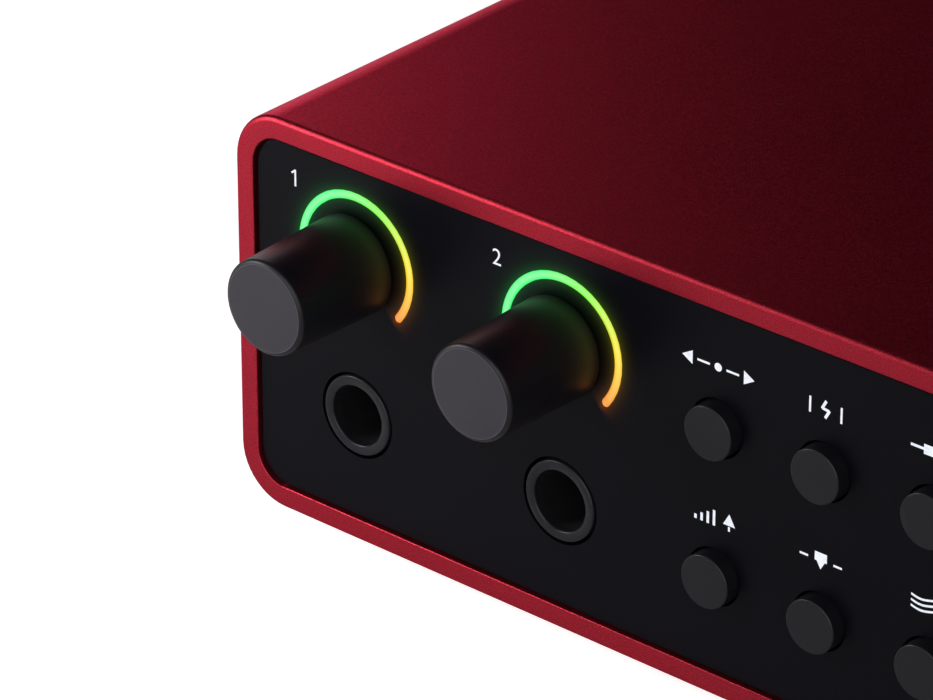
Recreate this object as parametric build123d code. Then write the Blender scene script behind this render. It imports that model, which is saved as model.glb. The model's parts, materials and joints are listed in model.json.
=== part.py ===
"""Desktop audio interface: an extruded case with gain, output and headphone controls on its front.

Millimetres. +X is to the right of someone who faces the front, +Y runs from the front to the rear and
+Z is up. The origin is on the surface that the feet stand on, under the middle of the whole object.
Heights named *_UP are measured from the underside of the case sleeve, and lengths named *_IN are
measured back from the plane of the sleeve's front rim.
"""

import os
from math import cos, radians, sin

from build123d import *

# ---- case --------------------------------------------------------------------------------------------
CASE_WIDTH = 210.0
CASE_HEIGHT = 45.0
CASE_DEPTH = 160.0
CASE_WALL = 2.5
CASE_CORNER_RADIUS = 6.0
CASE_EDGE_ROUND = 0.6
OPENING_CHAMFER = 0.15
FOOT_HEIGHT = 2.5
FOOT_RADIUS = 8.0
FOOT_INSET_X = 23.0
FOOT_INSET_Y = 24.0
FOOT_EDGE_ROUND = 0.5
FOOT_DIMPLE_RADIUS = 3.5
FOOT_DIMPLE_DEPTH = 0.8
PORT_RADIUS = 3.0
PORT_START_IN = 22.0
PORT_DRILL_DEPTH = 14.0

# ---- front and rear panels ---------------------------------------------------------------------------
PANEL_RECESS = 0.45
PANEL_THICKNESS = 2.5
PANEL_GAP = 0.12
PANEL_EDGE_CHAMFER = 0.2
PANEL_SKIRT_DEPTH = 3.5
PANEL_SKIRT_WALL = 1.4
REAR_PANEL_RECESS = 0.5
REAR_PANEL_THICKNESS = 2.0

# ---- gain controls and their halos -------------------------------------------------------------------
GAIN_INSET_X = 16.1
GAIN_PITCH = 27.1
KNOB_UP = 32.0
KNOB_REACH = 13.65
KNOB_FRONT_RADIUS = 5.15
KNOB_BACK_RADIUS = 5.5
KNOB_PANEL_GAP = 0.6
KNOB_FRONT_ROUND = 0.45
KNOB_BACK_ROUND = 0.25
HALO_RADIUS = 7.27
HALO_WIDTH = 0.95
HALO_START_DEG = -38.0
HALO_SWEEP_DEG = 256.0
HALO_CLEARANCE = 0.03

# ---- output and headphone controls -------------------------------------------------------------------
OUTPUT_INSET_X = 118.0
OUTPUT_UP = 22.5
OUTPUT_FRONT_RADIUS = 10.4
OUTPUT_BACK_RADIUS = 10.9
OUTPUT_REACH = 13.0
OUTPUT_HALO_RADIUS = 13.9
OUTPUT_KNOB_WALL = 1.6
OUTPUT_FACE_THICKNESS = 2.5
OUTPUT_RIB_THICKNESS = 1.2
OUTPUT_RIB_INSET = 1.5
HEADPHONE_INSET_X = 152.0
POINTER_WIDTH = 0.8
POINTER_DEPTH = 0.25
POINTER_LENGTH = 2.8

# ---- rotary shafts and encoders ----------------------------------------------------------------------
SHAFT_RADIUS = 3.0
SHAFT_FLAT_DEPTH = 0.75
SHAFT_RUNNING_GAP = 0.05
SHAFT_END_GAP = 0.3
SHAFT_KNOB_GAP = 0.02
SHAFT_SEAT_DEPTH = 9.0
BUSHING_RADIUS = 3.9
BUSHING_HOLE_GAP = 0.25
BUSHING_RECESS = 0.3
ENCODER_SIDE = 9.4
ENCODER_THICKNESS = 4.7
OUTPUT_ENCODER_SIDE = 11.7
ENCODER_FLOOR = 0.8

# ---- push buttons ------------------------------------------------------------------------------------
BUTTON_INSET_X = 62.8
BUTTON_PITCH_X = 13.0
BUTTON_COLUMNS = 3
BUTTON_TOP_UP = 29.65
BUTTON_BOTTOM_UP = 13.2
BUTTON_RADIUS = 2.9
BUTTON_PROUD = 1.5
BUTTON_EDGE_ROUND = 0.18
BUTTON_HOLE_GAP = 0.3
BUTTON_TRAVEL = 0.6
BUTTON_FLANGE_RADIUS = 3.9
BUTTON_FLANGE_THICKNESS = 0.8
BUTTON_FLANGE_GAP = 0.3
BUTTON_STEM_RADIUS = 1.5
STEM_GAP = 0.3
SWITCH_SIDE = 6.2
SWITCH_THICKNESS = 3.4
STEM_ENGAGEMENT = 0.6
STEM_END_GAP = 0.7

# ---- legend lights -----------------------------------------------------------------------------------
LEGEND_RISE = 6.65
LEGEND_GUIDE_WIDTH = 7.0
LEGEND_GUIDE_HEIGHT = 2.6
DIGIT_OFFSET_X = 8.2
DIGIT_RISE = 6.8
DIGIT_GUIDE_SIDE = 2.6
PANEL_SKIN = 0.6
STATUS_INSET_X = 172.0
STATUS_RADIUS = 1.0
LED_SIDE = 1.0
LED_THICKNESS = 0.6
LED_GAP = 0.2
LED_STEP_DEG = 30.0

# ---- quarter-inch jacks ------------------------------------------------------------------------------
JACK_UP = 14.4
JACK_BORE_RADIUS = 3.25
JACK_MOUTH_CHAMFER = 0.2
JACK_COLLAR_RADIUS = 4.42
JACK_COLLAR_ROUND = 0.2
JACK_COLLAR_GAP = 0.36
JACK_COLLAR_PROUD = 0.1
JACK_NOSE_RADIUS = 5.4
JACK_WIDTH = 15.0
JACK_LENGTH = 36.0
JACK_BORE_DEPTH = 34.0
JACK_POCKET_START = 22.5
JACK_POCKET_LENGTH = 10.0
JACK_POCKET_WALL = 1.0
JACK_COLLAR_BEHIND = 0.3
JACK_REAR_NOSE = 1.0
JACK_BOARD_GAP = 1.6
CONTACT_WIDTH = 3.0
CONTACT_THICKNESS = 0.4
CONTACT_CLEARANCE = 0.15
CONTACT_TIP_GAP = 1.5
JACK_STACK_RISE = 14.4
LINE_JACK_FIRST_X = -31.0
LINE_JACK_PITCH = 17.0
LINE_JACK_COLUMNS = 3

# ---- microphone sockets ------------------------------------------------------------------------------
MIC_FIRST_X = -80.0
MIC_PITCH = 27.0
MIC_UP = 22.5
MIC_FLANGE_WIDTH = 25.0
MIC_FLANGE_HEIGHT = 31.0
MIC_FLANGE_THICKNESS = 1.5
MIC_FLANGE_RADIUS = 2.0
MIC_BODY_RADIUS = 11.6
MIC_CAVITY_RADIUS = 9.6
MIC_INSERT_RADIUS = 7.7
MIC_INSERT_RECESS = 1.0
MIC_CAVITY_DEPTH = 15.0
MIC_BODY_LENGTH = 20.0
MIC_PIN_CIRCLE = 4.0
MIC_PIN_DEG = (40, 140, 270)
MIC_CONTACT_RADIUS = 1.6
MIC_CONTACT_BORE = 1.2
MIC_CONTACT_LENGTH = 11.0
MIC_SCREW_X = 9.7
MIC_SCREW_Z = 12.6
MIC_FOOT_WIDTH = 16.0
MIC_FOOT_START = 3.0
MIC_FLANGE_CHAMFER = 0.4
MIC_TAIL_RADIUS = 0.6
MIC_TAIL_OUT = 1.5
CONTACT_BASE = 1.0
MIC_SCREW_PAST = 3.0
LATCH_ROUND = 0.4
LATCH_WIDTH = 8.0
LATCH_HEIGHT = 2.0
LATCH_LIFT = 11.2
LATCH_PROUD = 2.2
LATCH_REACH_IN = 7.0
LATCH_TRAVEL = 0.8
LATCH_GAP = 0.3
LATCH_HOUSING_WIDTH = 12.0
LATCH_HOUSING_TOP = 14.2
LATCH_HOUSING_LENGTH = 10.0

# ---- MIDI sockets ------------------------------------------------------------------------------------
MIDI_FIRST_X = 24.0
MIDI_PITCH = 21.0
MIDI_SIDE = 19.0
MIDI_LENGTH = 15.0
MIDI_NOSE_RADIUS = 8.6
MIDI_CAVITY_RADIUS = 6.8
MIDI_INSERT_RADIUS = 5.7
MIDI_CAVITY_DEPTH = 8.0
MIDI_PIN_CIRCLE = 3.75
MIDI_PIN_STEP_DEG = 45
MIDI_CONTACT_RADIUS = 0.95
MIDI_CONTACT_BORE = 0.7
MIDI_CONTACT_LENGTH = 7.0
MIDI_KEY_WIDTH = 2.0
MIDI_KEY_DEPTH = 0.8
MIDI_INSERT_RECESS = 0.6
MIDI_BODY_GAP = 0.4

# ---- USB ports and security slot ---------------------------------------------------------------------
USB_FIRST_X = 64.0
USB_PITCH = 13.5
USB_WIDTH = 8.94
USB_HEIGHT = 3.26
USB_SHELL_WALL = 0.3
USB_LENGTH = 7.5
USB_TONGUE_WIDTH = 6.6
USB_TONGUE_THICKNESS = 0.7
USB_TONGUE_RECESS = 0.8
USB_CORNER_RADIUS = 1.2
USB_BASE_LENGTH = 2.5
CUTOUT_GAP = 0.25
LOCK_SLOT_X = 91.5
LOCK_SLOT_WIDTH = 7.0
LOCK_SLOT_HEIGHT = 3.0
LOCK_SLOT_RADIUS = 0.8
LOCK_SLOT_UP = 22.0

# ---- boards, tray and fasteners ----------------------------------------------------------------------
BOARD_THICKNESS = 1.6
MAIN_BOARD_WIDTH = 190.0
CONTROL_BOARD_WIDTH = 200.0
CONTROL_BOARD_IN = 9.0
CONTROL_BOARD_LOW = 4.6
CONTROL_BOARD_HIGH = 40.2
MAIN_BOARD_LOW_UP = 6.6
MAIN_BOARD_FRONT_IN = 14.0
MAIN_BOARD_REAR_GAP = 1.0
TRAY_THICKNESS = 1.2
TRAY_WIDTH = 187.0
TRAY_FRONT_IN = 12.0
TRAY_TAB_WIDTH = 7.0
TRAY_TAB_UP = 11.0
TRAY_REAR_GAP = 8.0
NUT_RADIUS = 2.9
NUT_HEIGHT = 2.2
STANDOFF_RADIUS = 2.7
STANDOFF_X = 90.0
STANDOFF_FRONT_IN = 46.0
STANDOFF_REAR_IN = 112.0
SCREW_RADIUS = 1.4
SCREW_CLEARANCE = 0.15
SCREW_HEAD_RADIUS = 2.6
SCREW_HEAD_HEIGHT = 1.7
SCREW_FLUSH = 0.05
SMALL_SCREW_RADIUS = 1.0
SMALL_HEAD_RADIUS = 1.9
SMALL_HEAD_HEIGHT = 1.1
DRIVE_WIDTH_SHARE = 0.45
DRIVE_DEPTH_SHARE = 0.65
PAN_ROUND_SHARE = 0.4
BOSS_RADIUS = 2.4
BOSS_BESIDE_BUTTON = 9.5
BOSS_BEFORE_OUTPUT = 13.0
BOSS_PAST_OUTPUT = 17.0
BOSS_PAST_HEADPHONE = 14.0
BOSS_INSET_X = 14.0
BOSS_UP = (7.2, 37.6)
LINK_INSET_X = 74.0
LINK_WIDTH = 26.0
LINK_HEIGHT = 5.0
LINK_LENGTH = 9.0
BOSS_HOLE_END = 0.5
BOSS_SCREW_END = 1.0
STANDOFF_SCREW_END = 0.4
PORT_SCREW_LENGTH = 11.0
CHIP_HEIGHT = 1.4
MAIN_CHIPS = ((32.0, 62.0, 14.0, 14.0), (58.0, 66.0, 9.0, 9.0), (8.0, 60.0, 9.0, 9.0),
              (-8.0, 98.0, 9.0, 6.0), (12.0, 98.0, 9.0, 6.0), (70.0, 118.0, 7.0, 7.0))
CONTROL_CHIP_SIDE = 7.0
CONTROL_CHIP_INSETS_X = (30.0, 135.0)
CAPACITOR_RADIUS = 3.15
CAPACITOR_HEIGHT = 11.0
CAPACITOR_EDGE_ROUND = 0.4
CAPACITORS = ((-86.0, 62.0), (-86.0, 72.0), (-86.0, 82.0), (-20.0, 60.0), (-20.0, 70.0),
              (40.0, 100.0), (50.0, 100.0), (60.0, 100.0), (84.0, 90.0), (84.0, 100.0))
SHIELD_X = -54.0
SHIELD_IN = 52.0
SHIELD_WIDTH = 44.0
SHIELD_DEPTH = 40.0
SHIELD_HEIGHT = 7.0
SHIELD_WALL = 0.4

# ---- places worked out from the sizes above ----------------------------------------------------------
REAR_PROUD = MIC_FLANGE_THICKNESS - REAR_PANEL_RECESS + LATCH_PROUD
FRONT_PROUD = KNOB_REACH - PANEL_RECESS
RIM_Y = -(CASE_DEPTH + REAR_PROUD - FRONT_PROUD) / 2
PANEL_Y = RIM_Y + PANEL_RECESS
PANEL_BACK_Y = PANEL_Y + PANEL_THICKNESS
REAR_FACE_Y = RIM_Y + CASE_DEPTH - REAR_PANEL_RECESS
REAR_PANEL_Y = REAR_FACE_Y - REAR_PANEL_THICKNESS
CONTROL_BOARD_Y = RIM_Y + CONTROL_BOARD_IN
LEFT = -CASE_WIDTH / 2
INSIDE_WIDTH = CASE_WIDTH - 2 * CASE_WALL
INSIDE_HEIGHT = CASE_HEIGHT - 2 * CASE_WALL
INSIDE_RADIUS = CASE_CORNER_RADIUS - CASE_WALL
MIDDLE_Z = FOOT_HEIGHT + CASE_HEIGHT / 2
PORT_X = INSIDE_WIDTH / 2 - PORT_RADIUS
PORT_Z = INSIDE_HEIGHT / 2 - PORT_RADIUS
BOARD_TOP_Z = FOOT_HEIGHT + MAIN_BOARD_LOW_UP + BOARD_THICKNESS
BOARD_BOTTOM_Z = BOARD_TOP_Z - BOARD_THICKNESS
TRAY_TOP_Z = FOOT_HEIGHT + CASE_WALL + TRAY_THICKNESS
KNOB_Z = FOOT_HEIGHT + KNOB_UP
JACK_Z = FOOT_HEIGHT + JACK_UP
OUTPUT_Z = FOOT_HEIGHT + OUTPUT_UP
MIC_Z = FOOT_HEIGHT + MIC_UP
MIDI_Z = BOARD_TOP_Z + MIDI_SIDE / 2
USB_Z = BOARD_TOP_Z + USB_HEIGHT / 2
GAIN_XS = [LEFT + GAIN_INSET_X + i * GAIN_PITCH for i in range(2)]
OUTPUT_X = LEFT + OUTPUT_INSET_X
HEADPHONE_X = LEFT + HEADPHONE_INSET_X
STATUS_X = LEFT + STATUS_INSET_X
BUTTON_XS = [LEFT + BUTTON_INSET_X + i * BUTTON_PITCH_X for i in range(BUTTON_COLUMNS)]
LINK_X = LEFT + LINK_INSET_X
CONTROL_CHIP_XS = [LEFT + inset for inset in CONTROL_CHIP_INSETS_X]
BUTTON_ZS = [FOOT_HEIGHT + BUTTON_TOP_UP, FOOT_HEIGHT + BUTTON_BOTTOM_UP]
BUTTON_NAMES = [
    ["select_button", "phantom_power_button", "instrument_button"],
    ["auto_gain_button", "safe_level_button", "voicing_button"],
]
MIC_XS = [MIC_FIRST_X + i * MIC_PITCH for i in range(2)]
MIDI_XS = [MIDI_FIRST_X + i * MIDI_PITCH for i in range(2)]
USB_XS = [USB_FIRST_X + i * USB_PITCH for i in range(2)]
LINE_JACK_XS = [LINE_JACK_FIRST_X + i * LINE_JACK_PITCH for i in range(LINE_JACK_COLUMNS)]
FRONT_JACK_NAMES = ["input_jack_1", "input_jack_2", "headphone_jack"]
LINE_JACK_NAMES = [
    ["line_input_jack_3", "line_output_jack_1", "line_output_jack_3"],
    ["line_input_jack_4", "line_output_jack_2", "line_output_jack_4"],
]
LINE_JACK_ZS = [JACK_Z + JACK_STACK_RISE, JACK_Z]
FEET = [(x, y) for x in (LEFT + FOOT_INSET_X, -LEFT - FOOT_INSET_X)
        for y in (RIM_Y + FOOT_INSET_Y, RIM_Y + CASE_DEPTH - FOOT_INSET_Y)]
STANDOFFS = [(x, RIM_Y + inward) for x in (-STANDOFF_X, 0.0, STANDOFF_X)
             for inward in (STANDOFF_FRONT_IN, STANDOFF_REAR_IN)]
BOSS_XS = [sum(GAIN_XS) / 2, BUTTON_XS[0] - BOSS_BESIDE_BUTTON, OUTPUT_X - BOSS_BEFORE_OUTPUT,
           OUTPUT_X + BOSS_PAST_OUTPUT, HEADPHONE_X + BOSS_PAST_HEADPHONE, -LEFT - BOSS_INSET_X]
BOSSES = [(x, FOOT_HEIGHT + up) for x in BOSS_XS for up in BOSS_UP]
TAB_XS = [BOSS_XS[1], BOSS_XS[4]]
PORTS = [(side * PORT_X, MIDDLE_Z + rise * PORT_Z) for side in (-1, 1) for rise in (-1, 1)]
MIC_SCREWS = [(MIC_SCREW_X, MIC_SCREW_Z), (-MIC_SCREW_X, -MIC_SCREW_Z)]
MIC_PINS = [(MIC_PIN_CIRCLE * cos(radians(a)), MIC_PIN_CIRCLE * sin(radians(a))) for a in MIC_PIN_DEG]
MIDI_PINS = [(MIDI_PIN_CIRCLE * cos(radians(a)), MIDI_PIN_CIRCLE * sin(radians(a)))
             for a in range(0, 181, MIDI_PIN_STEP_DEG)]


# ---- shapes used by several pieces -------------------------------------------------------------------
def block(x0, x1, y0, y1, z0, z1):
    """A box between two corners."""
    return Pos((x0 + x1) / 2, (y0 + y1) / 2, (z0 + z1) / 2) * Box(x1 - x0, y1 - y0, z1 - z0)


def rod(x, z, radius, y0, y1):
    """A cylinder that lies along Y."""
    return Pos(x, (y0 + y1) / 2, z) * Rot(90, 0, 0) * Cylinder(radius, y1 - y0)


def post(x, y, radius, z0, z1):
    """A cylinder that stands along Z."""
    return Pos(x, y, (z0 + z1) / 2) * Cylinder(radius, z1 - z0)


def along_y(outline, x, z, y0, y1):
    """A flat outline, drawn in X and Z about its own middle, drawn out from y0 to y1."""
    return Pos(x, y1, z) * Rot(90, 0, 0) * extrude(outline, amount=y1 - y0)


def cone_rod(x, z, front_radius, back_radius, y0, y1):
    """A tapered round bar along Y, with the front radius at y0."""
    return Pos(x, (y0 + y1) / 2, z) * Rot(90, 0, 0) * Cone(back_radius, front_radius, y1 - y0)


def edges_at_y(solid, y):
    """The edges that lie wholly at one depth."""
    return solid.edges().filter_by_position(Axis.Y, y - 0.001, y + 0.001)


def round_edges_of_radius(solid, y, radius):
    """The circles of one radius at one depth."""
    return [e for e in edges_at_y(solid, y)
            if e.geom_type == GeomType.CIRCLE and abs(e.radius - radius) < 0.001]


def halo_arc(radius, width):
    """The outline of a halo: a round-ended band over the top of a circle, open at the bottom."""
    middle = CenterArc((0, 0), radius, HALO_START_DEG, HALO_SWEEP_DEG)
    return SlotArc(arc=middle, height=width)


def sunk_screw(head_radius, shank_radius, length):
    """A countersunk screw along +Z that stands on its shank's tip, with its flat head at the top."""
    head_height = head_radius - shank_radius
    shank = Pos(0, 0, (length - head_height) / 2) * Cylinder(shank_radius, length - head_height)
    head = Pos(0, 0, length - head_height / 2) * Cone(shank_radius, head_radius, head_height)
    recess = Pos(0, 0, length) * extrude(RegularPolygon(head_radius * DRIVE_WIDTH_SHARE, 6),
                                         amount=-head_height * DRIVE_DEPTH_SHARE)
    return shank + head - recess


def pan_screw(head_radius, head_height, shank_radius, length):
    """A round-headed screw along +Z, with its head's underside at z = 0 and its shank below."""
    head = Pos(0, 0, head_height / 2) * Cylinder(head_radius, head_height)
    head = fillet(head.edges().filter_by_position(Axis.Z, head_height - 0.01, head_height + 0.01),
                  head_height * PAN_ROUND_SHARE)
    shank = Pos(0, 0, -length / 2) * Cylinder(shank_radius, length)
    recess = Pos(0, 0, head_height) * extrude(RegularPolygon(head_radius * DRIVE_WIDTH_SHARE, 6),
                                              amount=-head_height * DRIVE_DEPTH_SHARE)
    return head + shank - recess


# ---- case --------------------------------------------------------------------------------------------
def case_sleeve():
    """The drawn aluminium sleeve: a rounded tube with screw ports in its inner corners."""
    y0, y1 = RIM_Y, RIM_Y + CASE_DEPTH
    outside = along_y(RectangleRounded(CASE_WIDTH, CASE_HEIGHT, CASE_CORNER_RADIUS), 0, MIDDLE_Z, y0, y1)
    ends = edges_at_y(outside, y0) + edges_at_y(outside, y1)
    outside = fillet(ends, CASE_EDGE_ROUND)
    inside = along_y(RectangleRounded(INSIDE_WIDTH, INSIDE_HEIGHT, INSIDE_RADIUS), 0, MIDDLE_Z, y0, y1)
    sleeve = outside - inside
    reach_x, reach_z = (INSIDE_WIDTH + CASE_WALL) / 2, (INSIDE_HEIGHT + CASE_WALL) / 2
    mouths = [e for y in (y0, y1) for e in edges_at_y(sleeve, y)
              if abs(e.center().X) < reach_x and abs(e.center().Z - MIDDLE_Z) < reach_z]
    sleeve = chamfer(mouths, OPENING_CHAMFER)
    port_y = RIM_Y + PORT_START_IN
    skin = along_y(RectangleRounded(CASE_WIDTH - CASE_WALL, CASE_HEIGHT - CASE_WALL,
                                    CASE_CORNER_RADIUS - CASE_WALL / 2), 0, MIDDLE_Z, port_y, REAR_PANEL_Y)
    for x, z in PORTS:
        side = PORT_RADIUS if x > 0 else -PORT_RADIUS
        rise = PORT_RADIUS if z > MIDDLE_Z else -PORT_RADIUS
        corner = block(min(x, x + side), max(x, x + side), port_y, REAR_PANEL_Y,
                       min(z, z + rise), max(z, z + rise))
        sleeve = sleeve + rod(x, z, PORT_RADIUS, port_y, REAR_PANEL_Y) + (corner & skin)
        sleeve = sleeve - rod(x, z, SCREW_RADIUS + SCREW_CLEARANCE,
                              REAR_PANEL_Y - PORT_DRILL_DEPTH, REAR_PANEL_Y)
    for x, y in FEET:
        hole = post(x, y, SCREW_RADIUS + SCREW_CLEARANCE, FOOT_HEIGHT, FOOT_HEIGHT + CASE_WALL)
        sink_height = SCREW_HEAD_RADIUS - SCREW_RADIUS
        sink = Pos(x, y, FOOT_HEIGHT + sink_height / 2) * Cone(
            SCREW_HEAD_RADIUS + SCREW_CLEARANCE, SCREW_RADIUS + SCREW_CLEARANCE, sink_height)
        sleeve = sleeve - hole - sink
    return sleeve


def rubber_feet():
    """Four round feet under the sleeve."""
    feet = []
    for x, y in FEET:
        foot = post(x, y, FOOT_RADIUS, 0, FOOT_HEIGHT)
        foot = fillet(foot.edges().filter_by_position(Axis.Z, -0.01, 0.01), FOOT_EDGE_ROUND)
        feet.append(foot - post(x, y, FOOT_DIMPLE_RADIUS, 0, FOOT_DIMPLE_DEPTH))
    return feet


def chassis_tray():
    """The folded steel tray that carries the main board and holds the front to the sleeve."""
    z0 = FOOT_HEIGHT + CASE_WALL
    half = TRAY_WIDTH / 2
    tray = block(-half, half, RIM_Y + TRAY_FRONT_IN, REAR_PANEL_Y - TRAY_REAR_GAP, z0, TRAY_TOP_Z)
    tab_y = CONTROL_BOARD_Y + BOARD_THICKNESS
    for x in TAB_XS:
        tab = block(x - TRAY_TAB_WIDTH / 2, x + TRAY_TAB_WIDTH / 2, tab_y, tab_y + TRAY_THICKNESS,
                    z0, FOOT_HEIGHT + TRAY_TAB_UP)
        foot = block(x - TRAY_TAB_WIDTH / 2, x + TRAY_TAB_WIDTH / 2, tab_y,
                     RIM_Y + TRAY_FRONT_IN, z0, TRAY_TOP_Z)
        tray = tray + tab + foot
        tray = tray - rod(x, FOOT_HEIGHT + BOSS_UP[0], SMALL_SCREW_RADIUS + SCREW_CLEARANCE,
                          tab_y, tab_y + TRAY_THICKNESS)
    for x, y in FEET:
        tray = tray + post(x, y, NUT_RADIUS, TRAY_TOP_Z, TRAY_TOP_Z + NUT_HEIGHT)
        tray = tray - post(x, y, SCREW_RADIUS + SCREW_CLEARANCE, z0, TRAY_TOP_Z + NUT_HEIGHT)
    return tray


def tray_screws():
    """Four countersunk screws, up through the sleeve's floor into the tray's nuts, under the feet."""
    length = CASE_WALL + TRAY_THICKNESS + NUT_HEIGHT - SCREW_FLUSH
    screw = Rot(180, 0, 0) * sunk_screw(SCREW_HEAD_RADIUS, SCREW_RADIUS, length)
    return [Pos(x, y, FOOT_HEIGHT + SCREW_FLUSH + length) * screw for x, y in FEET]


# ---- front panel -------------------------------------------------------------------------------------
def panel_outline(inset):
    """The outline of a panel that drops into the sleeve's end, inset from the sleeve's inner wall."""
    return RectangleRounded(INSIDE_WIDTH - 2 * inset, INSIDE_HEIGHT - 2 * inset, INSIDE_RADIUS - inset)


def legend_places():
    """Middle, width and height of each lit legend behind the panel's skin."""
    places = [(x, z + LEGEND_RISE, LEGEND_GUIDE_WIDTH, LEGEND_GUIDE_HEIGHT)
              for z in BUTTON_ZS for x in BUTTON_XS]
    places += [(x - DIGIT_OFFSET_X, KNOB_Z + DIGIT_RISE, DIGIT_GUIDE_SIDE, DIGIT_GUIDE_SIDE)
               for x in GAIN_XS]
    return places


def front_panel():
    """The moulded black fascia, with a stiffening skirt and bosses for the control board."""
    face = along_y(panel_outline(PANEL_GAP), 0, MIDDLE_Z, PANEL_Y, PANEL_BACK_Y)
    face = chamfer(edges_at_y(face, PANEL_Y), PANEL_EDGE_CHAMFER)
    skirt = along_y(panel_outline(PANEL_GAP), 0, MIDDLE_Z, PANEL_BACK_Y, PANEL_BACK_Y + PANEL_SKIRT_DEPTH)
    skirt -= along_y(panel_outline(PANEL_GAP + PANEL_SKIRT_WALL), 0, MIDDLE_Z,
                     PANEL_BACK_Y, PANEL_BACK_Y + PANEL_SKIRT_DEPTH)
    panel = face + skirt
    for x, z in BOSSES:
        panel = panel + rod(x, z, BOSS_RADIUS, PANEL_BACK_Y, CONTROL_BOARD_Y)
        panel = panel - rod(x, z, SMALL_SCREW_RADIUS + SCREW_CLEARANCE / 2,
                            PANEL_BACK_Y + BOSS_HOLE_END, CONTROL_BOARD_Y)
    bushing_hole = BUSHING_RADIUS + BUSHING_HOLE_GAP
    cuts = [rod(x, z, bushing_hole, PANEL_Y, PANEL_BACK_Y)
            for x, z in [*((x, KNOB_Z) for x in GAIN_XS), (HEADPHONE_X, KNOB_Z), (OUTPUT_X, OUTPUT_Z)]]
    cuts += [along_y(halo_arc(HALO_RADIUS, HALO_WIDTH), x, KNOB_Z, PANEL_Y, PANEL_BACK_Y) for x in GAIN_XS]
    cuts.append(along_y(halo_arc(OUTPUT_HALO_RADIUS, HALO_WIDTH), OUTPUT_X, OUTPUT_Z, PANEL_Y, PANEL_BACK_Y))
    cuts += [rod(x, z, BUTTON_RADIUS + BUTTON_HOLE_GAP, PANEL_Y, PANEL_BACK_Y)
             for x in BUTTON_XS for z in BUTTON_ZS]
    cuts += [rod(x, JACK_Z, JACK_COLLAR_RADIUS + JACK_COLLAR_GAP, PANEL_Y, PANEL_BACK_Y)
             for x in (*GAIN_XS, HEADPHONE_X)]
    cuts.append(rod(STATUS_X, KNOB_Z, STATUS_RADIUS + HALO_CLEARANCE, PANEL_Y, PANEL_BACK_Y))
    cuts += [block(x - w / 2, x + w / 2, PANEL_Y + PANEL_SKIN, PANEL_BACK_Y, z - h / 2, z + h / 2)
             for x, z, w, h in legend_places()]
    for cut in cuts:
        panel = panel - cut
    return panel


def label_light_guides():
    """Clear blocks that carry light to the legends, and the round status lens."""
    gap = HALO_CLEARANCE
    back = CONTROL_BOARD_Y - LED_THICKNESS - LED_GAP
    guides = [block(x - w / 2 + gap, x + w / 2 - gap, PANEL_Y + PANEL_SKIN, back,
                    z - h / 2 + gap, z + h / 2 - gap) for x, z, w, h in legend_places()]
    guides.append(rod(STATUS_X, KNOB_Z, STATUS_RADIUS, PANEL_Y, back))
    return guides


def halo_ring(x, z, radius):
    """One halo's light guide, flush with the panel in front and close to its lights behind."""
    outline = halo_arc(radius, HALO_WIDTH - 2 * HALO_CLEARANCE)
    return along_y(outline, x, z, PANEL_Y, CONTROL_BOARD_Y - LED_THICKNESS - LED_GAP)


def light_places():
    """Where the lights stand on the control board: along each halo and behind each legend."""
    places = [(x, z) for x, z, _, _ in legend_places()] + [(STATUS_X, KNOB_Z)]
    rings = [(x, KNOB_Z, HALO_RADIUS, LED_STEP_DEG) for x in GAIN_XS]
    rings.append((OUTPUT_X, OUTPUT_Z, OUTPUT_HALO_RADIUS, LED_STEP_DEG / 2))
    for x, z, radius, step in rings:
        for i in range(int(HALO_SWEEP_DEG / step) + 1):
            angle = radians(HALO_START_DEG + i * step)
            places.append((x + radius * cos(angle), z + radius * sin(angle)))
    return places


def light_emitters():
    """The small square lights on the front of the control board."""
    front, half = CONTROL_BOARD_Y - LED_THICKNESS, LED_SIDE / 2
    return [block(x - half, x + half, front, CONTROL_BOARD_Y, z - half, z + half)
            for x, z in light_places()]


# ---- rotary controls ---------------------------------------------------------------------------------
def shaft_outline(radius, flat):
    """A round shaft's section with one flat on top."""
    return Circle(radius) - Pos(0, radius) * Rectangle(2 * radius, 2 * flat)


def shaft_bore(x, z, tip_y, seat_y):
    """The keyed hole in a knob that takes its shaft."""
    outline = shaft_outline(SHAFT_RADIUS + SHAFT_KNOB_GAP, SHAFT_FLAT_DEPTH)
    return along_y(outline, x, z, tip_y, seat_y)


def small_knob(x, z, pointer=False):
    """A tall, slightly tapered round cap, with a pointer line on its face if it needs one."""
    front, back = PANEL_Y - KNOB_REACH, PANEL_Y - KNOB_PANEL_GAP
    knob = cone_rod(x, z, KNOB_FRONT_RADIUS, KNOB_BACK_RADIUS, front, back)
    knob = fillet(edges_at_y(knob, front), KNOB_FRONT_ROUND)
    knob = fillet(edges_at_y(knob, back), KNOB_BACK_ROUND)
    knob -= shaft_bore(x, z, back - SHAFT_SEAT_DEPTH - SHAFT_KNOB_GAP, back)
    if pointer:
        knob -= block(x - POINTER_WIDTH / 2, x + POINTER_WIDTH / 2, front, front + POINTER_DEPTH,
                      z + KNOB_FRONT_RADIUS - POINTER_LENGTH, z + KNOB_FRONT_RADIUS)
    return knob


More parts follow.
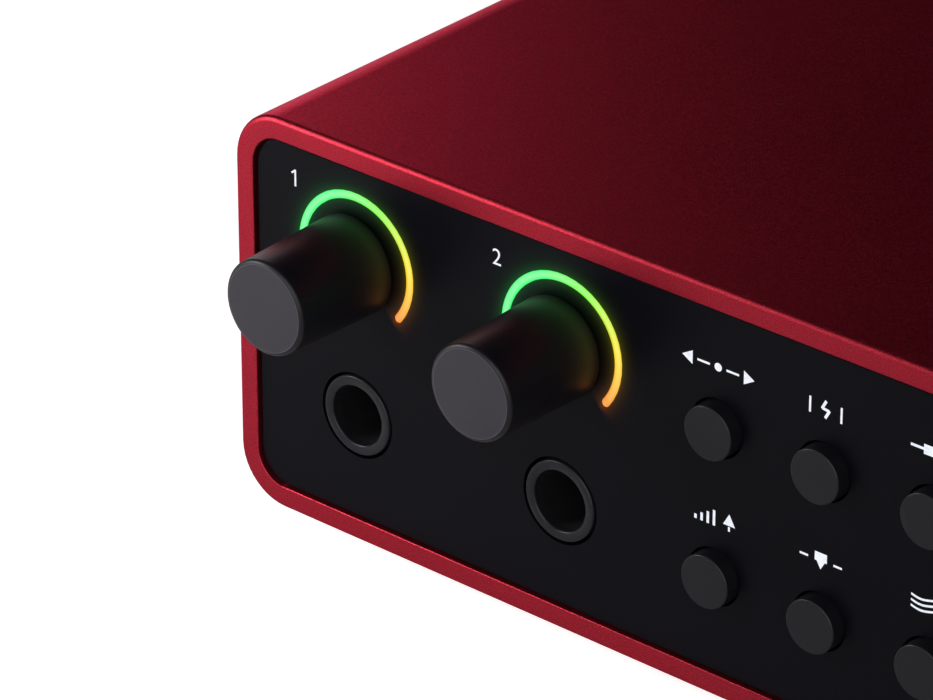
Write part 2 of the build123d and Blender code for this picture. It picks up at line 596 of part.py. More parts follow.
def output_knob():
    """The large cap: a hollow skirt round a hub that takes the shaft."""
    front, back = PANEL_Y - OUTPUT_REACH, PANEL_Y - KNOB_PANEL_GAP
    knob = cone_rod(OUTPUT_X, OUTPUT_Z, OUTPUT_FRONT_RADIUS, OUTPUT_BACK_RADIUS, front, back)
    knob = fillet(edges_at_y(knob, front), KNOB_FRONT_ROUND)
    inside = front + OUTPUT_FACE_THICKNESS
    hollow = rod(OUTPUT_X, OUTPUT_Z, OUTPUT_FRONT_RADIUS - OUTPUT_KNOB_WALL, inside, back)
    hollow -= rod(OUTPUT_X, OUTPUT_Z, SHAFT_RADIUS + OUTPUT_KNOB_WALL, inside, back)
    rib_half = OUTPUT_RIB_THICKNESS / 2
    for turn in range(0, 180, 60):
        hollow -= Pos(OUTPUT_X, 0, OUTPUT_Z) * Rot(0, turn, 0) * block(
            -OUTPUT_FRONT_RADIUS, OUTPUT_FRONT_RADIUS, inside, back - OUTPUT_RIB_INSET, -rib_half, rib_half)
    knob -= hollow
    return knob - shaft_bore(OUTPUT_X, OUTPUT_Z, back - SHAFT_SEAT_DEPTH - SHAFT_KNOB_GAP, back)


def rotary_shaft(x, z):
    """A steel shaft: keyed where the knob grips it, round where it runs in its bushing."""
    tip = PANEL_Y - KNOB_PANEL_GAP - SHAFT_SEAT_DEPTH
    keyed_end = PANEL_Y - KNOB_PANEL_GAP
    keyed = along_y(shaft_outline(SHAFT_RADIUS, SHAFT_FLAT_DEPTH), x, z, tip, keyed_end)
    return keyed + rod(x, z, SHAFT_RADIUS, keyed_end, CONTROL_BOARD_Y - ENCODER_FLOOR - SHAFT_END_GAP)


def rotary_encoder(x, z, side):
    """An encoder's housing on the control board, with the bushing that carries the shaft."""
    body_y = CONTROL_BOARD_Y - ENCODER_THICKNESS
    housing = block(x - side / 2, x + side / 2, body_y, CONTROL_BOARD_Y, z - side / 2, z + side / 2)
    housing = housing + rod(x, z, BUSHING_RADIUS, PANEL_Y + BUSHING_RECESS, body_y)
    bore = rod(x, z, SHAFT_RADIUS + SHAFT_RUNNING_GAP, PANEL_Y, CONTROL_BOARD_Y - ENCODER_FLOOR)
    return housing - bore


# ---- push buttons ------------------------------------------------------------------------------------
def flange_y():
    """The front of a button's flange, just behind the panel."""
    return PANEL_BACK_Y + BUTTON_FLANGE_GAP


def stem_end_y():
    """The back end of a button's stem, inside its switch's well."""
    return CONTROL_BOARD_Y - SWITCH_THICKNESS + STEM_ENGAGEMENT


def push_button(x, z):
    """A round cap with a flange that stops it behind the panel and a stem that works the switch."""
    front = PANEL_Y - BUTTON_PROUD
    cap = rod(x, z, BUTTON_RADIUS, front, flange_y())
    cap = fillet(edges_at_y(cap, front), BUTTON_EDGE_ROUND)
    flange_back = flange_y() + BUTTON_FLANGE_THICKNESS
    flange = rod(x, z, BUTTON_FLANGE_RADIUS, flange_y(), flange_back)
    return cap + flange + rod(x, z, BUTTON_STEM_RADIUS, flange_back, stem_end_y())


def tactile_switches():
    """One switch housing behind each button, with a well that the stem travels in."""
    housings = []
    for x in BUTTON_XS:
        for z in BUTTON_ZS:
            body = block(x - SWITCH_SIDE / 2, x + SWITCH_SIDE / 2, CONTROL_BOARD_Y - SWITCH_THICKNESS,
                         CONTROL_BOARD_Y, z - SWITCH_SIDE / 2, z + SWITCH_SIDE / 2)
            well = rod(x, z, BUTTON_STEM_RADIUS + STEM_GAP, CONTROL_BOARD_Y - SWITCH_THICKNESS,
                       stem_end_y() + BUTTON_TRAVEL + STEM_END_GAP)
            housings.append(body - well)
    return housings


# ---- quarter-inch jacks ------------------------------------------------------------------------------
def jack(panel_thickness, nose_length, low, high):
    """A jack along +Y with its mouth at y = 0: collar, nose and a body from low to high about its axis."""
    collar_length = panel_thickness + JACK_COLLAR_PROUD + JACK_COLLAR_BEHIND
    collar = rod(0, 0, JACK_COLLAR_RADIUS, 0, collar_length)
    collar = fillet(edges_at_y(collar, 0), JACK_COLLAR_ROUND)
    nose = rod(0, 0, JACK_NOSE_RADIUS, collar_length, nose_length)
    body = block(-JACK_WIDTH / 2, JACK_WIDTH / 2, nose_length, JACK_LENGTH, low, high)
    shape = collar + nose + body - rod(0, 0, JACK_BORE_RADIUS, 0, JACK_BORE_DEPTH)
    shape = chamfer(round_edges_of_radius(shape, 0, JACK_BORE_RADIUS), JACK_MOUTH_CHAMFER)
    y0, y1, half = JACK_POCKET_START, JACK_POCKET_START + JACK_POCKET_LENGTH, CONTACT_WIDTH / 2
    shape = shape - block(-half, half, y0, y1, 0, high - JACK_POCKET_WALL)
    return shape - block(0, JACK_WIDTH / 2 - JACK_POCKET_WALL, y0, y1, -half, half)


def jack_contact(reach):
    """A bent leaf spring in a jack's pocket: it runs beside the bore and turns up to the pocket's top."""
    low = JACK_BORE_RADIUS + CONTACT_CLEARANCE
    y0 = JACK_POCKET_START + JACK_POCKET_LENGTH - CONTACT_THICKNESS
    leaf = block(-CONTACT_WIDTH / 2, CONTACT_WIDTH / 2, JACK_POCKET_START + CONTACT_TIP_GAP,
                 y0 + CONTACT_THICKNESS, low, low + CONTACT_THICKNESS)
    leg = block(-CONTACT_WIDTH / 2, CONTACT_WIDTH / 2, y0, y0 + CONTACT_THICKNESS,
                low, reach - JACK_POCKET_WALL)
    return leaf + leg


def front_nose_length():
    """How far a front jack's body lies behind its mouth: clear of the control board."""
    return CONTROL_BOARD_Y + BOARD_THICKNESS + JACK_BOARD_GAP - (PANEL_Y - JACK_COLLAR_PROUD)


def jacks():
    """Every jack by name, and all their contact springs."""
    low = BOARD_TOP_Z - JACK_Z
    half_stack = JACK_STACK_RISE / 2
    found, contacts = {}, []
    for name, x in zip(FRONT_JACK_NAMES, (*GAIN_XS, HEADPHONE_X)):
        place = Pos(x, PANEL_Y - JACK_COLLAR_PROUD, JACK_Z)
        found[name] = place * jack(PANEL_THICKNESS, front_nose_length(), low, -low)
        contacts += [place * jack_contact(-low), place * Rot(0, 90, 0) * jack_contact(JACK_WIDTH / 2)]
    rear_nose = REAR_PANEL_THICKNESS + JACK_COLLAR_PROUD + JACK_COLLAR_BEHIND + JACK_REAR_NOSE
    for names, z in zip(LINE_JACK_NAMES, LINE_JACK_ZS):
        bottom = low if z == JACK_Z else -half_stack
        for name, x in zip(names, LINE_JACK_XS):
            place = rear_place(x, z, JACK_COLLAR_PROUD)
            found[name] = place * jack(REAR_PANEL_THICKNESS, rear_nose, bottom, half_stack)
            contacts += [place * jack_contact(half_stack),
                         place * Rot(0, 90, 0) * jack_contact(JACK_WIDTH / 2)]
    return found, contacts


# ---- microphone sockets ------------------------------------------------------------------------------
def mic_socket():
    """A three-pole socket's body and contact block, mouth at -Y and flange outside the panel at y = 0."""
    front = -MIC_FLANGE_THICKNESS
    flange = along_y(RectangleRounded(MIC_FLANGE_WIDTH, MIC_FLANGE_HEIGHT, MIC_FLANGE_RADIUS), 0, 0, front, 0)
    flange = chamfer(edges_at_y(flange, front), MIC_FLANGE_CHAMFER)
    body_end = MIC_BODY_LENGTH - MIC_FLANGE_THICKNESS
    body = rod(0, 0, MIC_BODY_RADIUS, 0, body_end)
    half = LATCH_HOUSING_WIDTH / 2
    housing = block(-half, half, 0, LATCH_HOUSING_LENGTH, 0, LATCH_HOUSING_TOP)
    foot = block(-MIC_FOOT_WIDTH / 2, MIC_FOOT_WIDTH / 2, MIC_FOOT_START, body_end, BOARD_TOP_Z - MIC_Z, 0)
    socket = flange + body + housing + foot
    socket = socket - rod(0, 0, MIC_CAVITY_RADIUS, front, front + MIC_CAVITY_DEPTH)
    contact_block = rod(0, 0, MIC_INSERT_RADIUS, front + MIC_INSERT_RECESS, front + MIC_CAVITY_DEPTH)
    for x, z in MIC_PINS:
        contact_end = front + MIC_INSERT_RECESS + MIC_CONTACT_LENGTH
        tail_hole = rod(x, z, MIC_TAIL_RADIUS, contact_end, body_end)
        contact_block = contact_block - rod(x, z, MIC_CONTACT_RADIUS, front, contact_end) - tail_hole
        socket = socket - tail_hole
    for x, z in MIC_SCREWS:
        socket = socket - rod(x, z, SCREW_RADIUS + SCREW_CLEARANCE, front, 0)
        sink = SCREW_HEAD_RADIUS - SCREW_RADIUS
        socket = socket - cone_rod(x, z, SCREW_HEAD_RADIUS + SCREW_CLEARANCE,
                                   SCREW_RADIUS + SCREW_CLEARANCE, front, front + sink)
    slot_half = LATCH_WIDTH / 2 + LATCH_GAP
    slot_end = LATCH_REACH_IN + LATCH_TRAVEL + LATCH_GAP
    socket = socket - block(-slot_half, slot_half, front, slot_end, LATCH_LIFT - LATCH_GAP,
                            LATCH_LIFT + LATCH_HEIGHT + LATCH_GAP)
    return [socket, contact_block]


def mic_latch():
    """The tab that is pressed to let a plug go, in the same frame as its socket."""
    front = -MIC_FLANGE_THICKNESS - LATCH_PROUD
    tab = block(-LATCH_WIDTH / 2, LATCH_WIDTH / 2, front, LATCH_REACH_IN,
                LATCH_LIFT, LATCH_LIFT + LATCH_HEIGHT)
    return fillet(edges_at_y(tab, front), LATCH_ROUND)


def mic_contacts():
    """Three hollow contacts in the socket's insert, each with a tail out of its back."""
    front = -MIC_FLANGE_THICKNESS + MIC_INSERT_RECESS
    end = front + MIC_CONTACT_LENGTH
    tail_end = MIC_BODY_LENGTH - MIC_FLANGE_THICKNESS + MIC_TAIL_OUT
    return [rod(x, z, MIC_CONTACT_RADIUS, front, end) + rod(x, z, MIC_TAIL_RADIUS, end, tail_end)
            - rod(x, z, MIC_CONTACT_BORE, front, end - CONTACT_BASE) for x, z in MIC_PINS]


def socket_screw():
    """A countersunk screw through a socket's flange and the rear panel, in the socket's own frame."""
    length = MIC_FLANGE_THICKNESS + REAR_PANEL_THICKNESS + MIC_SCREW_PAST
    screw = Rot(90, 0, 0) * sunk_screw(SCREW_HEAD_RADIUS, SCREW_RADIUS, length)
    return Pos(0, -MIC_FLANGE_THICKNESS + SCREW_FLUSH + length, 0) * screw


# ---- MIDI sockets and USB ports ----------------------------------------------------------------------
def midi_socket():
    """A five-pole socket's housing and contact block, its mouth flush with the panel at y = 0."""
    half = MIDI_SIDE / 2
    body_start = REAR_PANEL_THICKNESS + MIDI_BODY_GAP
    socket = rod(0, 0, MIDI_NOSE_RADIUS, 0, body_start)
    socket = socket + block(-half, half, body_start, MIDI_LENGTH, BOARD_TOP_Z - MIDI_Z, half)
    socket = socket - rod(0, 0, MIDI_CAVITY_RADIUS, 0, MIDI_CAVITY_DEPTH)
    socket = socket - block(-MIDI_KEY_WIDTH / 2, MIDI_KEY_WIDTH / 2, 0, MIDI_CAVITY_DEPTH,
                            -MIDI_CAVITY_RADIUS - MIDI_KEY_DEPTH, -MIDI_CAVITY_RADIUS + MIDI_KEY_DEPTH / 2)
    contact_block = rod(0, 0, MIDI_INSERT_RADIUS, MIDI_INSERT_RECESS, MIDI_CAVITY_DEPTH)
    for x, z in MIDI_PINS:
        contact_end = MIDI_INSERT_RECESS + MIDI_CONTACT_LENGTH
        contact_block = contact_block - rod(x, z, MIDI_CONTACT_RADIUS, 0, contact_end)
    return [socket, contact_block]


def midi_contacts():
    """Five hollow contacts, in the same frame as their socket."""
    end = MIDI_INSERT_RECESS + MIDI_CONTACT_LENGTH
    return [rod(x, z, MIDI_CONTACT_RADIUS, MIDI_INSERT_RECESS, end)
            - rod(x, z, MIDI_CONTACT_BORE, MIDI_INSERT_RECESS, end - CONTACT_BASE) for x, z in MIDI_PINS]


def usb_outline(grow):
    """The rounded outline of a port's shell, grown all round."""
    return RectangleRounded(USB_WIDTH + 2 * grow, USB_HEIGHT + 2 * grow, USB_CORNER_RADIUS + grow)


def usb_shell():
    """The steel shell of a port, closed at its back, with its mouth at y = 0."""
    shell = along_y(usb_outline(0), 0, 0, 0, USB_LENGTH)
    return shell - along_y(usb_outline(-USB_SHELL_WALL), 0, 0, 0, USB_LENGTH - USB_SHELL_WALL)


def usb_tongue():
    """The plastic insert in a port's shell: a block at the back that carries a thin tongue."""
    base = along_y(usb_outline(-USB_SHELL_WALL), 0, 0, USB_LENGTH - USB_BASE_LENGTH,
                   USB_LENGTH - USB_SHELL_WALL)
    half, thick = USB_TONGUE_WIDTH / 2, USB_TONGUE_THICKNESS / 2
    return base + block(-half, half, USB_TONGUE_RECESS, USB_LENGTH - USB_BASE_LENGTH, -thick, thick)


# ---- rear panel --------------------------------------------------------------------------------------
def rear_place(x, z, proud=0.0):
    """Turns a socket about, so that its mouth faces back through the rear panel."""
    return Pos(x, REAR_FACE_Y + proud, z) * Rot(0, 0, 180)


def rear_panel():
    """The black plate that closes the rear, with an opening for every socket."""
    y0, y1 = REAR_PANEL_Y, REAR_FACE_Y
    panel = along_y(panel_outline(PANEL_GAP), 0, MIDDLE_Z, y0, y1)
    panel = chamfer(edges_at_y(panel, y1), PANEL_EDGE_CHAMFER)
    cuts = []
    for x in MIC_XS:
        cuts.append(rod(x, MIC_Z, MIC_BODY_RADIUS + CUTOUT_GAP, y0, y1))
        half = LATCH_HOUSING_WIDTH / 2 + CUTOUT_GAP
        cuts.append(block(x - half, x + half, y0, y1, MIC_Z, MIC_Z + LATCH_HOUSING_TOP + CUTOUT_GAP))
        cuts += [rod(x - sx, MIC_Z + sz, SCREW_RADIUS + SCREW_CLEARANCE, y0, y1) for sx, sz in MIC_SCREWS]
    cuts += [rod(x, z, JACK_COLLAR_RADIUS + JACK_COLLAR_GAP, y0, y1)
             for x in LINE_JACK_XS for z in LINE_JACK_ZS]
    cuts += [rod(x, MIDI_Z, MIDI_NOSE_RADIUS + CUTOUT_GAP, y0, y1) for x in MIDI_XS]
    cuts += [along_y(usb_outline(CUTOUT_GAP), x, USB_Z, y0, y1) for x in USB_XS]
    cuts.append(along_y(RectangleRounded(LOCK_SLOT_WIDTH, LOCK_SLOT_HEIGHT, LOCK_SLOT_RADIUS),
                        LOCK_SLOT_X, FOOT_HEIGHT + LOCK_SLOT_UP, y0, y1))
    for x, z in PORTS:
        cuts.append(rod(x, z, SCREW_RADIUS + SCREW_CLEARANCE, y0, y1))
        cuts.append(cone_rod(x, z, SCREW_RADIUS + SCREW_CLEARANCE, SCREW_HEAD_RADIUS + SCREW_CLEARANCE,
                             y1 - SCREW_HEAD_RADIUS + SCREW_RADIUS, y1))
    for cut in cuts:
        panel = panel - cut
    return panel


def rear_panel_screws():
    """Four countersunk screws into the sleeve's corner ports."""
    screw = Rot(-90, 0, 0) * sunk_screw(SCREW_HEAD_RADIUS, SCREW_RADIUS, PORT_SCREW_LENGTH)
    return [Pos(x, REAR_FACE_Y - SCREW_FLUSH - PORT_SCREW_LENGTH, z) * screw for x, z in PORTS]


# ---- boards and what stands on them ------------------------------------------------------------------
def main_board():
    """The large board on the tray's standoffs."""
    half = MAIN_BOARD_WIDTH / 2
    board = block(-half, half, RIM_Y + MAIN_BOARD_FRONT_IN, REAR_PANEL_Y - MAIN_BOARD_REAR_GAP,
                  BOARD_BOTTOM_Z, BOARD_TOP_Z)
    for x, y in STANDOFFS:
        board = board - post(x, y, SCREW_RADIUS + SCREW_CLEARANCE, BOARD_BOTTOM_Z, BOARD_TOP_Z)
    return board


def control_board():
    """The upright board behind the front panel, with holes for the jacks' noses and the screws."""
    half = CONTROL_BOARD_WIDTH / 2
    y0, y1 = CONTROL_BOARD_Y, CONTROL_BOARD_Y + BOARD_THICKNESS
    board = block(-half, half, y0, y1, FOOT_HEIGHT + CONTROL_BOARD_LOW, FOOT_HEIGHT + CONTROL_BOARD_HIGH)
    for x in (*GAIN_XS, HEADPHONE_X):
        board = board - rod(x, JACK_Z, JACK_NOSE_RADIUS + CUTOUT_GAP, y0, y1)
    for x, z in BOSSES:
        board = board - rod(x, z, SMALL_SCREW_RADIUS + SCREW_CLEARANCE, y0, y1)
    return board


def control_board_screws():
    """Screws from behind the control board into the front panel's bosses; two also hold the tray."""
    screws = []
    for x, z in BOSSES:
        through_tab = x in TAB_XS and z == FOOT_HEIGHT + BOSS_UP[0]
        seat = CONTROL_BOARD_Y + BOARD_THICKNESS + (TRAY_THICKNESS if through_tab else 0)
        length = seat - PANEL_BACK_Y - BOSS_SCREW_END
        screws.append(Pos(x, seat, z) * Rot(-90, 0, 0) * pan_screw(
            SMALL_HEAD_RADIUS, SMALL_HEAD_HEIGHT, SMALL_SCREW_RADIUS, length))
    return screws


def standoffs():
    """Threaded pillars between the tray and the main board."""
    return [post(x, y, STANDOFF_RADIUS, TRAY_TOP_Z, BOARD_BOTTOM_Z)
            - post(x, y, SCREW_RADIUS + SCREW_CLEARANCE / 2, TRAY_TOP_Z, BOARD_BOTTOM_Z)
            for x, y in STANDOFFS]


def main_board_screws():
    """Round-headed screws through the main board into the standoffs."""
    length = BOARD_TOP_Z - TRAY_TOP_Z - STANDOFF_SCREW_END
    screw = pan_screw(SCREW_HEAD_RADIUS, SCREW_HEAD_HEIGHT, SCREW_RADIUS, length)
    return [Pos(x, y, BOARD_TOP_Z) * screw for x, y in STANDOFFS]


def board_link():
    """The right-angle connector that joins the two boards."""
    y0 = CONTROL_BOARD_Y + BOARD_THICKNESS
    return block(LINK_X - LINK_WIDTH / 2, LINK_X + LINK_WIDTH / 2, y0, y0 + LINK_LENGTH,
                 BOARD_TOP_Z, BOARD_TOP_Z + LINK_HEIGHT)


def chips():
    """The flat packages on the main board and on the back of the control board."""
    found = []
    for x, inward, width, depth in MAIN_CHIPS:
        y = RIM_Y + inward
        found.append(block(x - width / 2, x + width / 2, y - depth / 2, y + depth / 2,
                           BOARD_TOP_Z, BOARD_TOP_Z + CHIP_HEIGHT))
    y0 = CONTROL_BOARD_Y + BOARD_THICKNESS
    half = CONTROL_CHIP_SIDE / 2
    for x in CONTROL_CHIP_XS:
        found.append(block(x - half, x + half, y0, y0 + CHIP_HEIGHT, MIDDLE_Z - half, MIDDLE_Z + half))
    return found


def capacitors():
    """The round cans on the main board, each with its rolled top edge."""
    found = []
    for x, inward in CAPACITORS:
        can = post(x, RIM_Y + inward, CAPACITOR_RADIUS, BOARD_TOP_Z, BOARD_TOP_Z + CAPACITOR_HEIGHT)
        top = can.edges().filter_by_position(Axis.Z, BOARD_TOP_Z + CAPACITOR_HEIGHT - 0.01,
                                             BOARD_TOP_Z + CAPACITOR_HEIGHT + 0.01)
        found.append(fillet(top, CAPACITOR_EDGE_ROUND))
    return found


def shield_can():
    """The folded steel lid over the microphone amplifiers."""
    x0, x1 = SHIELD_X - SHIELD_WIDTH / 2, SHIELD_X + SHIELD_WIDTH / 2
    y0, y1 = RIM_Y + SHIELD_IN, RIM_Y + SHIELD_IN + SHIELD_DEPTH
    wall = SHIELD_WALL
    can = block(x0, x1, y0, y1, BOARD_TOP_Z, BOARD_TOP_Z + SHIELD_HEIGHT)
    return can - block(x0 + wall, x1 - wall, y0 + wall, y1 - wall,
                       BOARD_TOP_Z, BOARD_TOP_Z + SHIELD_HEIGHT - wall)


# ---- every piece, by name ----------------------------------------------------------------------------
def pieces():
    """Every node of the assembly: one solid, or a list of like solids."""
    found, contacts = jacks()
    found["jack_contacts"] = contacts
    found.update({
        "case_sleeve": case_sleeve(), "rubber_feet": rubber_feet(), "chassis_tray": chassis_tray(),
        "tray_screws": tray_screws(), "front_panel": front_panel(), "rear_panel": rear_panel(),
        "label_light_guides": label_light_guides(),
        "light_emitters": light_emitters(), "control_board": control_board(),
        "control_board_screws": control_board_screws(), "main_board": main_board(),
        "standoffs": standoffs(), "main_board_screws": main_board_screws(), "board_link": board_link(),
        "chips": chips(), "capacitors": capacitors(), "shield_can": shield_can(),
        "tactile_switches": tactile_switches(), "output_knob": output_knob(),
        "output_shaft": rotary_shaft(OUTPUT_X, OUTPUT_Z),
        "output_encoder": rotary_encoder(OUTPUT_X, OUTPUT_Z, OUTPUT_ENCODER_SIDE),
        "output_halo": halo_ring(OUTPUT_X, OUTPUT_Z, OUTPUT_HALO_RADIUS),
        "headphone_knob": small_knob(HEADPHONE_X, KNOB_Z, pointer=True),
        "headphone_shaft": rotary_shaft(HEADPHONE_X, KNOB_Z),
        "headphone_potentiometer": rotary_encoder(HEADPHONE_X, KNOB_Z, ENCODER_SIDE),
    })
    found["gain_encoders"] = [rotary_encoder(x, KNOB_Z, ENCODER_SIDE) for x in GAIN_XS]
    for number, x in enumerate(GAIN_XS, 1):
        found[f"gain_knob_{number}"] = small_knob(x, KNOB_Z)
        found[f"gain_shaft_{number}"] = rotary_shaft(x, KNOB_Z)
        found[f"gain_halo_{number}"] = halo_ring(x, KNOB_Z, HALO_RADIUS)
    for names, z in zip(BUTTON_NAMES, BUTTON_ZS):
        for name, x in zip(names, BUTTON_XS):
            found[name] = push_button(x, z)
    mic_places = [rear_place(x, MIC_Z) for x in MIC_XS]
    for number, place in enumerate(mic_places, 1):
        found[f"mic_socket_{number}"] = [place * piece for piece in mic_socket()]
        found[f"mic_latch_{number}"] = place * mic_latch()
    found["mic_contacts"] = [place * contact for place in mic_places for contact in mic_contacts()]
    found["rear_screws"] = rear_panel_screws() + [place * Pos(x, 0, z) * socket_screw()
                                                  for place in mic_places for x, z in MIC_SCREWS]
    for name, x in zip(("midi_in_socket", "midi_out_socket"), MIDI_XS):
        found[name] = [rear_place(x, MIDI_Z) * piece for piece in midi_socket()]
    found["midi_contacts"] = [rear_place(x, MIDI_Z) * contact for x in MIDI_XS for contact in midi_contacts()]
    for name, x in zip(("usb_data_port", "usb_power_port"), USB_XS):
        found[name] = rear_place(x, USB_Z) * usb_shell()
    found["usb_tongues"] = [rear_place(x, USB_Z) * usb_tongue() for x in USB_XS]
    return found


os.makedirs("parts", exist_ok=True)
for name, piece in pieces().items():
    shape = Compound(children=piece) if isinstance(piece, list) else piece
    export_step(shape, f"parts/{name}.step")
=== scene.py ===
"""The looks of a desktop audio interface: finishes, lit legends, light and camera.

Everything is in metres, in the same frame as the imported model. The front faces -Y and +Z is up.
"""

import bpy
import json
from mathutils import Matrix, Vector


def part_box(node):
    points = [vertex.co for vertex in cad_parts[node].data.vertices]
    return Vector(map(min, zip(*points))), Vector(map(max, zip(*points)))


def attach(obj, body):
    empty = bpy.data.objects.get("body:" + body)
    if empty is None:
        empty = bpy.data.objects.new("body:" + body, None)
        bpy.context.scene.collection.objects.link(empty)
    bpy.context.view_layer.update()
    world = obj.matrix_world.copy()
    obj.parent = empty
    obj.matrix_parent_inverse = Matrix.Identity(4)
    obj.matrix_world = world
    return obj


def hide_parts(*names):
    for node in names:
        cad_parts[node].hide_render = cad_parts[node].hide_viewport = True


bl_info = {
    "name": "Desktop audio interface",
    "version": (1, 0, 0),
    "blender": (4, 5, 0),
    "location": "View3D > Sidebar > Interface",
    "description": "Finishes, lit legends, light and camera for a desktop audio interface",
    "category": "Object",
}

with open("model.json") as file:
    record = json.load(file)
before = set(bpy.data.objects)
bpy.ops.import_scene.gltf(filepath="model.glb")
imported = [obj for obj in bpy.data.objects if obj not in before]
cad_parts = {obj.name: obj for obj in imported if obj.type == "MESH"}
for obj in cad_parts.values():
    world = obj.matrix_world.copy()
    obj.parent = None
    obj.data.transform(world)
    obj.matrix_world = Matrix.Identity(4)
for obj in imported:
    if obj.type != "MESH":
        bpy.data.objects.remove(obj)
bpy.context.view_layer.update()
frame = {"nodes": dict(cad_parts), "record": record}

import json
import math

import bmesh
import bpy
from bpy.props import FloatProperty, FloatVectorProperty, PointerProperty
from mathutils import Vector

MM = 0.001


# ---- places read from the frame ---------------------------------------------------------------------
def middle(node):
    """The middle of a node's box."""
    low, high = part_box(node)
    return (low + high) / 2


def span(node):
    """The size of a node's box."""
    low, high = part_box(node)
    return high - low


SLEEVE_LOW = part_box("case_sleeve")[0]
PANEL_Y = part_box("front_panel")[0].y
REAR_PANEL_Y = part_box("rear_panel")[1].y
GAIN_KNOBS = ("gain_knob_1", "gain_knob_2")
HALOS = ("gain_halo_1", "gain_halo_2", "output_halo")
HALO_KNOBS = dict(zip(HALOS, (*GAIN_KNOBS, "output_knob")))
BUTTONS = ("select_button", "phantom_power_button", "instrument_button",
           "auto_gain_button", "safe_level_button", "voicing_button")

# ---- fixed values --------------------------------------------------------------------------------------
HALO_REACH = math.radians(132.0)  # how far round from the top a halo runs, each way
HALO_CORE = 0.12 * MM             # half width of a halo's pale middle
HALO_EDGE = 0.46 * MM             # from a halo's middle line to where its colour is full
SPILL_FALL = 0.55 * MM            # distance over which a halo's spilt light fades
SPILL_END = 0.1                   # radians past a halo's end over which the spilt light stops
BORE_PAINTED_SHADE_END = 1.2 * MM          # depth in from a panel where the painted shade in a jack's bore is full black
BORE_PAINTED_SHADE_START = 0.2 * MM        # depth in from a panel where the painted shade in a bore starts
BORE_DULLNESS = 0.6               # added roughness inside a bore
CAP_TAPER = 0.35 * MM             # how much smaller a gain knob is at its front
PAINTED_HIGHLIGHT_RING_LIFT = 2.2              # how much paler the painted highlight ring round a knob's face is than the face
FLOOR_SEEN = 0.8                  # the floor's own glow, seen by the camera
FLOOR_REFLECTED = 0.1             # the floor's own glow, seen in metal and through clear pieces
SMOOTH_DEG = 32.0                 # edges sharper than this stay sharp
PANEL_SMOOTH_DEG = 10.0
JACK_SMOOTH_DEG = 44.0
MERGE_DISTANCE = 0.002 * MM


# ---- what a user may change ----------------------------------------------------------------------------
def colour(name, description, value):
    """A colour setting."""
    return FloatVectorProperty(name=name, description=description, subtype="COLOR", size=3,
                               min=0.0, max=1.0, default=value)


def length(name, description, value):
    """A length setting, in metres."""
    return FloatProperty(name=name, description=description, unit="LENGTH", default=value,
                         precision=5, min=0.0)


class StageSettings(bpy.types.PropertyGroup):
    """Camera, floor and lamps."""
    azimuth: FloatProperty(name="Azimuth", description="Camera's turn round the object from the front",
                           subtype="ANGLE", default=math.radians(41.08))
    elevation: FloatProperty(name="Elevation", description="Camera's height above the horizon",
                             subtype="ANGLE", default=math.radians(27.81))
    distance: length("Distance", "From the camera to the point that it looks at", 0.5623)
    lens: FloatProperty(name="Lens", description="Focal length in millimetres", default=217.9)
    aim_in: length("Aim in", "From the sleeve's left side to the point looked at", 0.0309)
    aim_up: length("Aim up", "From the sleeve's underside to the point looked at", 0.0271)
    floor_colour: colour("Floor", "Colour of the floor", (0.72, 0.72, 0.72))
    ceiling: FloatProperty(name="Ceiling", description="Brightness of the room over the object", default=0.006)


class FinishSettings(bpy.types.PropertyGroup):
    """Colours of the object's surfaces."""
    anodised: colour("Anodised", "Sleeve", (0.55, 0.034, 0.058))
    fascia: colour("Fascia", "Front panel", (0.0027, 0.0024, 0.0048))
    knob: colour("Knob", "Soft-touch sides of the knobs", (0.0070, 0.0062, 0.0095))
    # painted light: the gain knobs' faces are made far paler than the black sides, standing for the front light that
    # the faces catch
    knob_face_painted_light: colour("Knob face", "Front faces of the gain knobs", (0.036, 0.032, 0.041))
    button: colour("Button", "Push buttons", (0.0090, 0.0084, 0.0115))
    collar: colour("Collar", "Jack collars", (0.012, 0.012, 0.016))
    # painted shade: the near-black bore colour stands for the shade deep in a jack's hole
    bore: colour("Bore", "Inside of the jacks", (0.0006, 0.0006, 0.0008))
    halo_start: colour("Halo start", "Lit halo at its left end", (0.032, 1.0, 0.18))
    halo_middle: colour("Halo middle", "Lit halo past its top", (0.223, 1.0, 0.035))
    halo_late: colour("Halo late", "Lit halo at its right", (1.0, 0.72, 0.012))
    halo_end: colour("Halo end", "Lit halo at its right end", (1.0, 0.26, 0.004))
    legend: colour("Legend", "Lit numerals and signs", (0.84, 0.87, 1.0))


